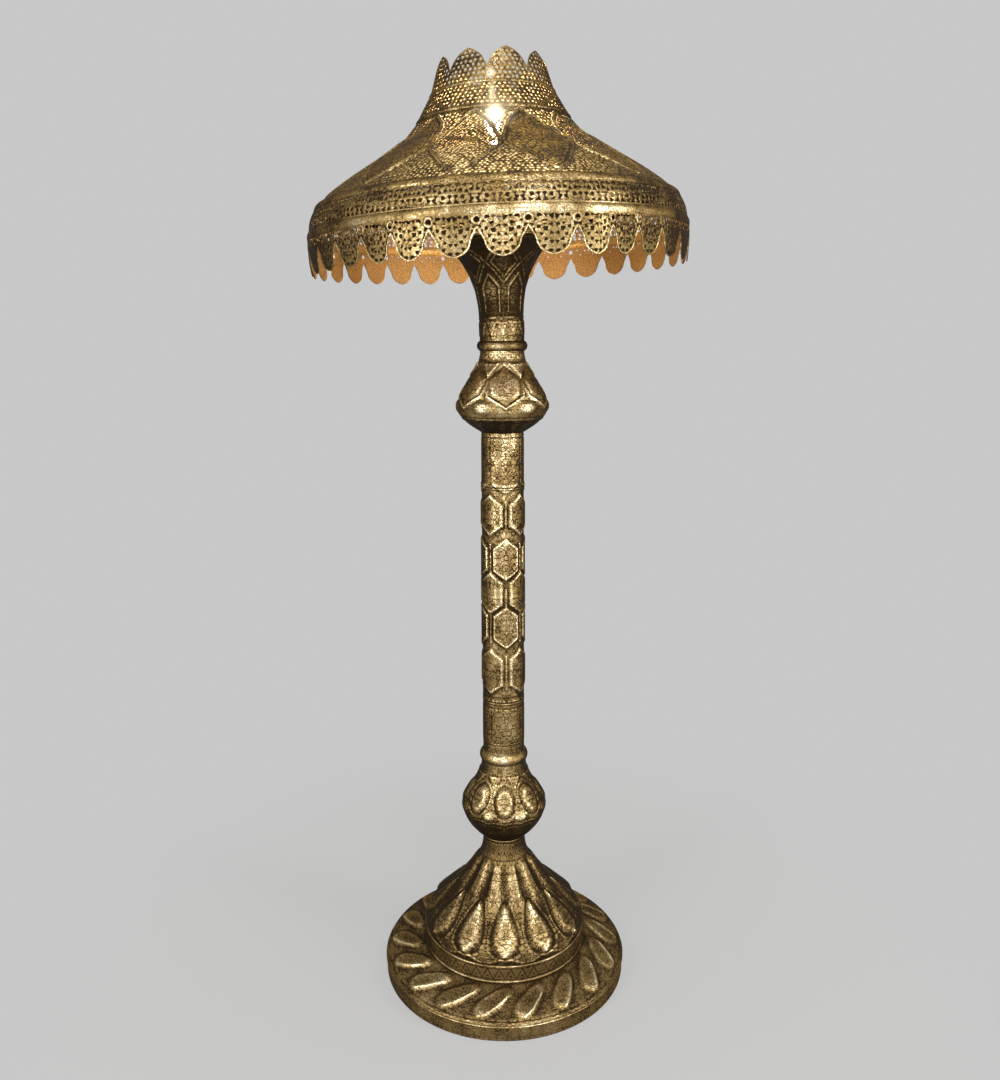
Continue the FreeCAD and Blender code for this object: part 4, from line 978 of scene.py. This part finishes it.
dome = {"stations": [(285, 1387.5), (227.5, 1428, 1.5), (166, 1468), (123, 1506, -5.5)], "step": 1.1,
        "around": 1440, "wall": 0.5, "reach": 5, "gain": 0.22, "cutAbove": 1437, "repeats": 24, "phase": 3.0,
        "medallions": 12, "junction": 3.0,
        "outline": [(15, 0), (26, 3.8), (55, 8.0), (92, 14.4), (112, 14.2), (150, 11.6), (176, 8.6),
                    (188, 4.0), (195, 0)],
        "dotSpacing": 7.0, "dotHole": 1.75, "fineSpacing": 5.8, "fineHole": 1.65}


def domeEdge(turn, radius, along):
    # millimetres outside the medallions' outlines
    side = np.abs(folded(turn, dome["medallions"], dome["junction"] + 15))
    levels, halves = np.array(dome["outline"], float).T
    half = blurred(np.interp(along, levels, halves), 5, 1)
    beyond = np.maximum(levels[0] - along, along - levels[-1]).clip(0)
    field = (side - half) * np.radians(1) * radius + beyond
    upward = np.gradient(field, along[:, 0], axis=0)
    return field / np.sqrt(1 + upward ** 2)


def domeMetal(turn, radius, height, along):
    edge = domeEdge(turn, radius, along)
    pierced = folded(turn, dome["medallions"] // 2, dome["junction"] - 15)
    dome["edge"], dome["open"] = edge, np.abs(pierced) < 15
    top = along.max()
    field = np.full_like(turn, 3.0)
    punch(field, turn, radius, along,
          dotRows(radius, along, dome["dotSpacing"], 0.5, 6, top - 3, 11), dome["dotHole"])
    fine = np.full_like(turn, 3.0)
    punch(fine, turn, radius, along,
          dotRows(radius, along, dome["fineSpacing"], 0.55, 12, top - 6, 12), dome["fineHole"])
    inside = edge < 0
    closed = inside & np.logical_not(dome["open"])
    field = np.where(inside, fine, field)
    field = np.maximum(field, 3.4 - np.abs(edge + 0.5))
    # low down and in the closed medallions the dots are only punched up from within; painted light: every dot
    # is painted bright as if the bulb shone through it, half as bright in the closed medallions, the lip round
    # each hole gets a painted highlight, and the closed medallions are a little darker
    dots = 0.75 * (1 - smoothStep(-0.8, 0.6, field))
    dome["paint"] = np.where(closed, 0.5, 1.0) * dots + 0.22 * bump(field - 0.5, 0.6) - 0.08 * closed
    return np.where(closed | (height < dome["cutAbove"]), np.maximum(field, 1.2), field)


def domeRelief(turn, radius, height, along, field):
    edge = dome["edge"]
    ridge = 1.7 * bump(edge, 2.3) - 0.7 * bump(np.abs(edge) - 4.2, 1.4)
    belly = 1.6 * smoothStep(0, 26, -edge) * ~dome["open"]
    inset = 0.6 * bump(edge + 7, 1.3) * ~dome["open"]
    return ridge + belly + inset


piercedSheet("shade_dome", dome, domeMetal, domeRelief,
             [finishes["domeBrass"], finishes["paintedLitInside"]])

band = {"stations": [(121.5, 1511), (100.5, 1546)], "step": 1.0, "around": 720, "wall": 0.5, "reach": 3,
        "gain": 0.6, "repeats": 36, "spacing": 7.6, "hole": 1.9}


def bandMetal(turn, radius, height, along):
    field = np.full_like(turn, 3.0)
    punch(field, turn, radius, along,
          dotRows(radius, along, band["spacing"], 0.3, 4.5, along.max() - 3, 21), band["hole"])
    return field


def dotRelief(turn, radius, height, along, field):
    return 0.4 * bump(field - 0.5, 0.8)


piercedSheet("crown_band", band, bandMetal, dotRelief,
             [finishes["crownBrass"], finishes["paintedLitInside"]])

crown = {"stations": [(98, 1550), (82, 1600)], "step": 0.9, "around": 720, "wall": 0.5, "reach": 3,
         "gain": 0.6, "repeats": 18, "phase": 16.0, "points": 9, "notchTurn": -4.0, "notchHeight": 22,
         "ring": 82, "spacing": 8.0, "hole": 1.9}


def crownMetal(turn, radius, height, along):
    side = np.radians(np.abs(folded(turn, crown["points"], crown["notchTurn"]))) * crown["ring"]
    half = math.pi * crown["ring"] / crown["points"]
    top = along.max()
    share = np.clip((along - crown["notchHeight"]) / (top - crown["notchHeight"]), 0, 1)
    gap = half * (0.42 * share + 0.58 * share ** 4)
    field = np.where(along < crown["notchHeight"], (crown["notchHeight"] - along) * 0.8 + side * 0.5,
                     side - gap)
    edge = toDistance(field, 88, crown["step"])
    crown["edge"] = edge
    holes = np.full_like(turn, 3.0)
    punch(holes, turn, radius, along,
          dotRows(radius, along, crown["spacing"], 0.3, 4, top - 3, 22), crown["hole"])
    return np.minimum(np.maximum(holes, 2.2 - edge), edge)


def crownRelief(turn, radius, height, along, field):
    return 0.5 * bump(crown["edge"] - 1, 1.0) + 0.4 * bump(field - 0.5, 0.8) * (crown["edge"] > 2)


piercedSheet("crown", crown, crownMetal, crownRelief,
             [finishes["crownBrass"], finishes["paintedLitInside"]])
print("shade done")


# ---- finishes of the pieces that keep their own shape

keptFinishes = {
    "plainBrass": ["rim_bead", "collar_bead_low", "collar_bead_top", "lower_ring", "upper_ring",
                   "trumpet_rim", "trumpet_cap"],
    "beltBrass": ["shade_belt"],
    "wireBrass": ["shade_moulding", "dome_ridge", "crown_wire", "shade_flange"],
    "fittingBrass": ["carrier_hub", "carrier_arm_1", "carrier_arm_2", "carrier_arm_3", "carrier_ring",
                     "socket_cap", "socket_shell", "screw_shell", "centre_contact", "bulb_contact",
                     "top_locknut", "carrier_nut"],
    "steel": ["centre_pipe", "bottom_nut", "bottom_washer", "top_washer", "carrier_washer",
              "base_spacer", "clamp_plate", "cover_screws"],
    "coverPaint": ["base_cover"], "iron": ["base_weight"], "felt": ["felt_pad"],
    "rubber": ["cord_grommet", "lamp_lead"], "whitePlastic": ["terminal_block"],
    "darkPlastic": ["switch_block", "switch_knob"], "linerCard": ["socket_liner"],
    "bulbMetal": ["bulb_cap"], "bulbGlass": ["bulb_glass"],
}
for finish, nodes in keptFinishes.items():
    for node in nodes:
        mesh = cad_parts[node].data
        mesh.materials.clear()
        mesh.materials.append(finishes[finish])
print("kept pieces finished")


# ---- camera, floor and light

view = {"place": (-0.0051, -1.594, 1.1748), "down": 12.304, "roll": -0.26, "lens": 31.02}
camera = bpy.data.objects.new("camera", bpy.data.cameras.new("camera"))
camera.data.lens = view["lens"]
camera.data.sensor_fit = "VERTICAL"
camera.data.sensor_height = 36
camera.location = view["place"]
camera.rotation_euler = (Euler((math.radians(90 - view["down"]), 0, 0)).to_matrix()
                         @ Matrix.Rotation(math.radians(view["roll"]), 3, "Z")).to_euler()
bpy.context.scene.collection.objects.link(camera)
bpy.context.scene.camera = camera

backdrop = {"grey": 0.578, "ambient": 0.34, "floorShade": 0.12, "floorLight": 1.35, "floorRadius": 9.0,
            "fadeFrom": 0.35, "fadeTo": 1.1}


def seenDirectly(tree):
    # 1 for rays from the camera, from gloss and through glass
    path = addNode(tree, "ShaderNodeLightPath").outputs
    seen = maths(tree, "MAXIMUM", path["Is Camera Ray"], path["Is Glossy Ray"])
    return maths(tree, "MAXIMUM", seen, path["Is Transmission Ray"])


world = bpy.data.worlds.new("studio")
world.use_nodes = True
bpy.context.scene.world = world
tree = world.node_tree
level = maths(tree, "MULTIPLY_ADD", seenDirectly(tree), backdrop["grey"] - backdrop["ambient"],
              backdrop["ambient"])
tree.links.new(level, tree.nodes["Background"].inputs["Strength"])
tree.nodes["Background"].inputs["Color"].default_value = (1, 1, 1, 1)

floorMesh = bpy.data.meshes.new("floor")
rim = [(backdrop["floorRadius"] * math.cos(angle), backdrop["floorRadius"] * math.sin(angle), -0.0005)
       for angle in np.linspace(0, 2 * math.pi, 97)[:-1]]
floorMesh.from_pydata(rim, [], [list(range(len(rim)))])
floor = bpy.data.objects.new("floor", floorMesh)
bpy.context.scene.collection.objects.link(floor)
floorFinish = bpy.data.materials.new("paleFloor")
floorFinish.use_nodes = True
tree = floorFinish.node_tree
tree.nodes.remove(tree.nodes["Principled BSDF"])
# the floor takes shadows round the foot and fades into the backdrop further out
spread = addNode(tree, "ShaderNodeVectorMath", {0: addNode(tree, "ShaderNodeTexCoord").outputs["Object"]},
                 operation="LENGTH").outputs["Value"]
shade = ramped(tree, spread, backdrop["fadeFrom"], backdrop["fadeTo"], backdrop["floorShade"], 0.0)
diffuse = addNode(tree, "ShaderNodeBsdfDiffuse", {"Color": shade})
glow = addNode(tree, "ShaderNodeEmission", {"Color": (1, 1, 1, 1)})
glowLevel = maths(tree, "MULTIPLY", seenDirectly(tree),
                  maths(tree, "MULTIPLY_ADD", shade, -backdrop["floorLight"], backdrop["grey"]))
tree.links.new(glowLevel, glow.inputs["Strength"])
both = addNode(tree, "ShaderNodeAddShader", {0: diffuse.outputs[0], 1: glow.outputs[0]})
tree.links.new(both.outputs[0], tree.nodes["Material Output"].inputs["Surface"])
floorMesh.materials.append(floorFinish)

lamps = {
    "leftBox": {"place": (-1.85, -1.85, 1.5), "aim": (0, 0, 1.3), "size": (0.55, 3.0), "power": 66},
    "rightBox": {"place": (2.3, -1.2, 1.5), "aim": (0, 0, 1.3), "size": (0.5, 3.0), "power": 66},
    "hoodBox": {"place": (0.35, -1.75, 3.1), "aim": (0, 0, 0.9), "size": (0.9, 0.9), "power": 32},
    "frontBox": {"place": (0.45, -2.6, 0.65), "aim": (0, 0, 0.8), "size": (0.5, 1.9), "power": 34},
    "topBox": {"place": (0, 0.2, 3.2), "aim": (0, 0, 1.2), "size": (1.6, 1.6), "power": 26},
}
for name, lamp in lamps.items():
    light = bpy.data.lights.new(name, "AREA")
    light.shape = "RECTANGLE"
    light.size, light.size_y = lamp["size"]
    light.energy = lamp["power"]
    light.color = (1.0, 0.97, 0.91)
    holder = bpy.data.objects.new(name, light)
    holder.visible_camera = False
    holder.location = lamp["place"]
    aim = Vector(lamp["aim"]) - Vector(lamp["place"])
    holder.rotation_euler = aim.to_track_quat("-Z", "Y").to_euler()
    bpy.context.scene.collection.objects.link(holder)

bpy.context.scene.view_settings.view_transform = "Standard"
print("studio set")
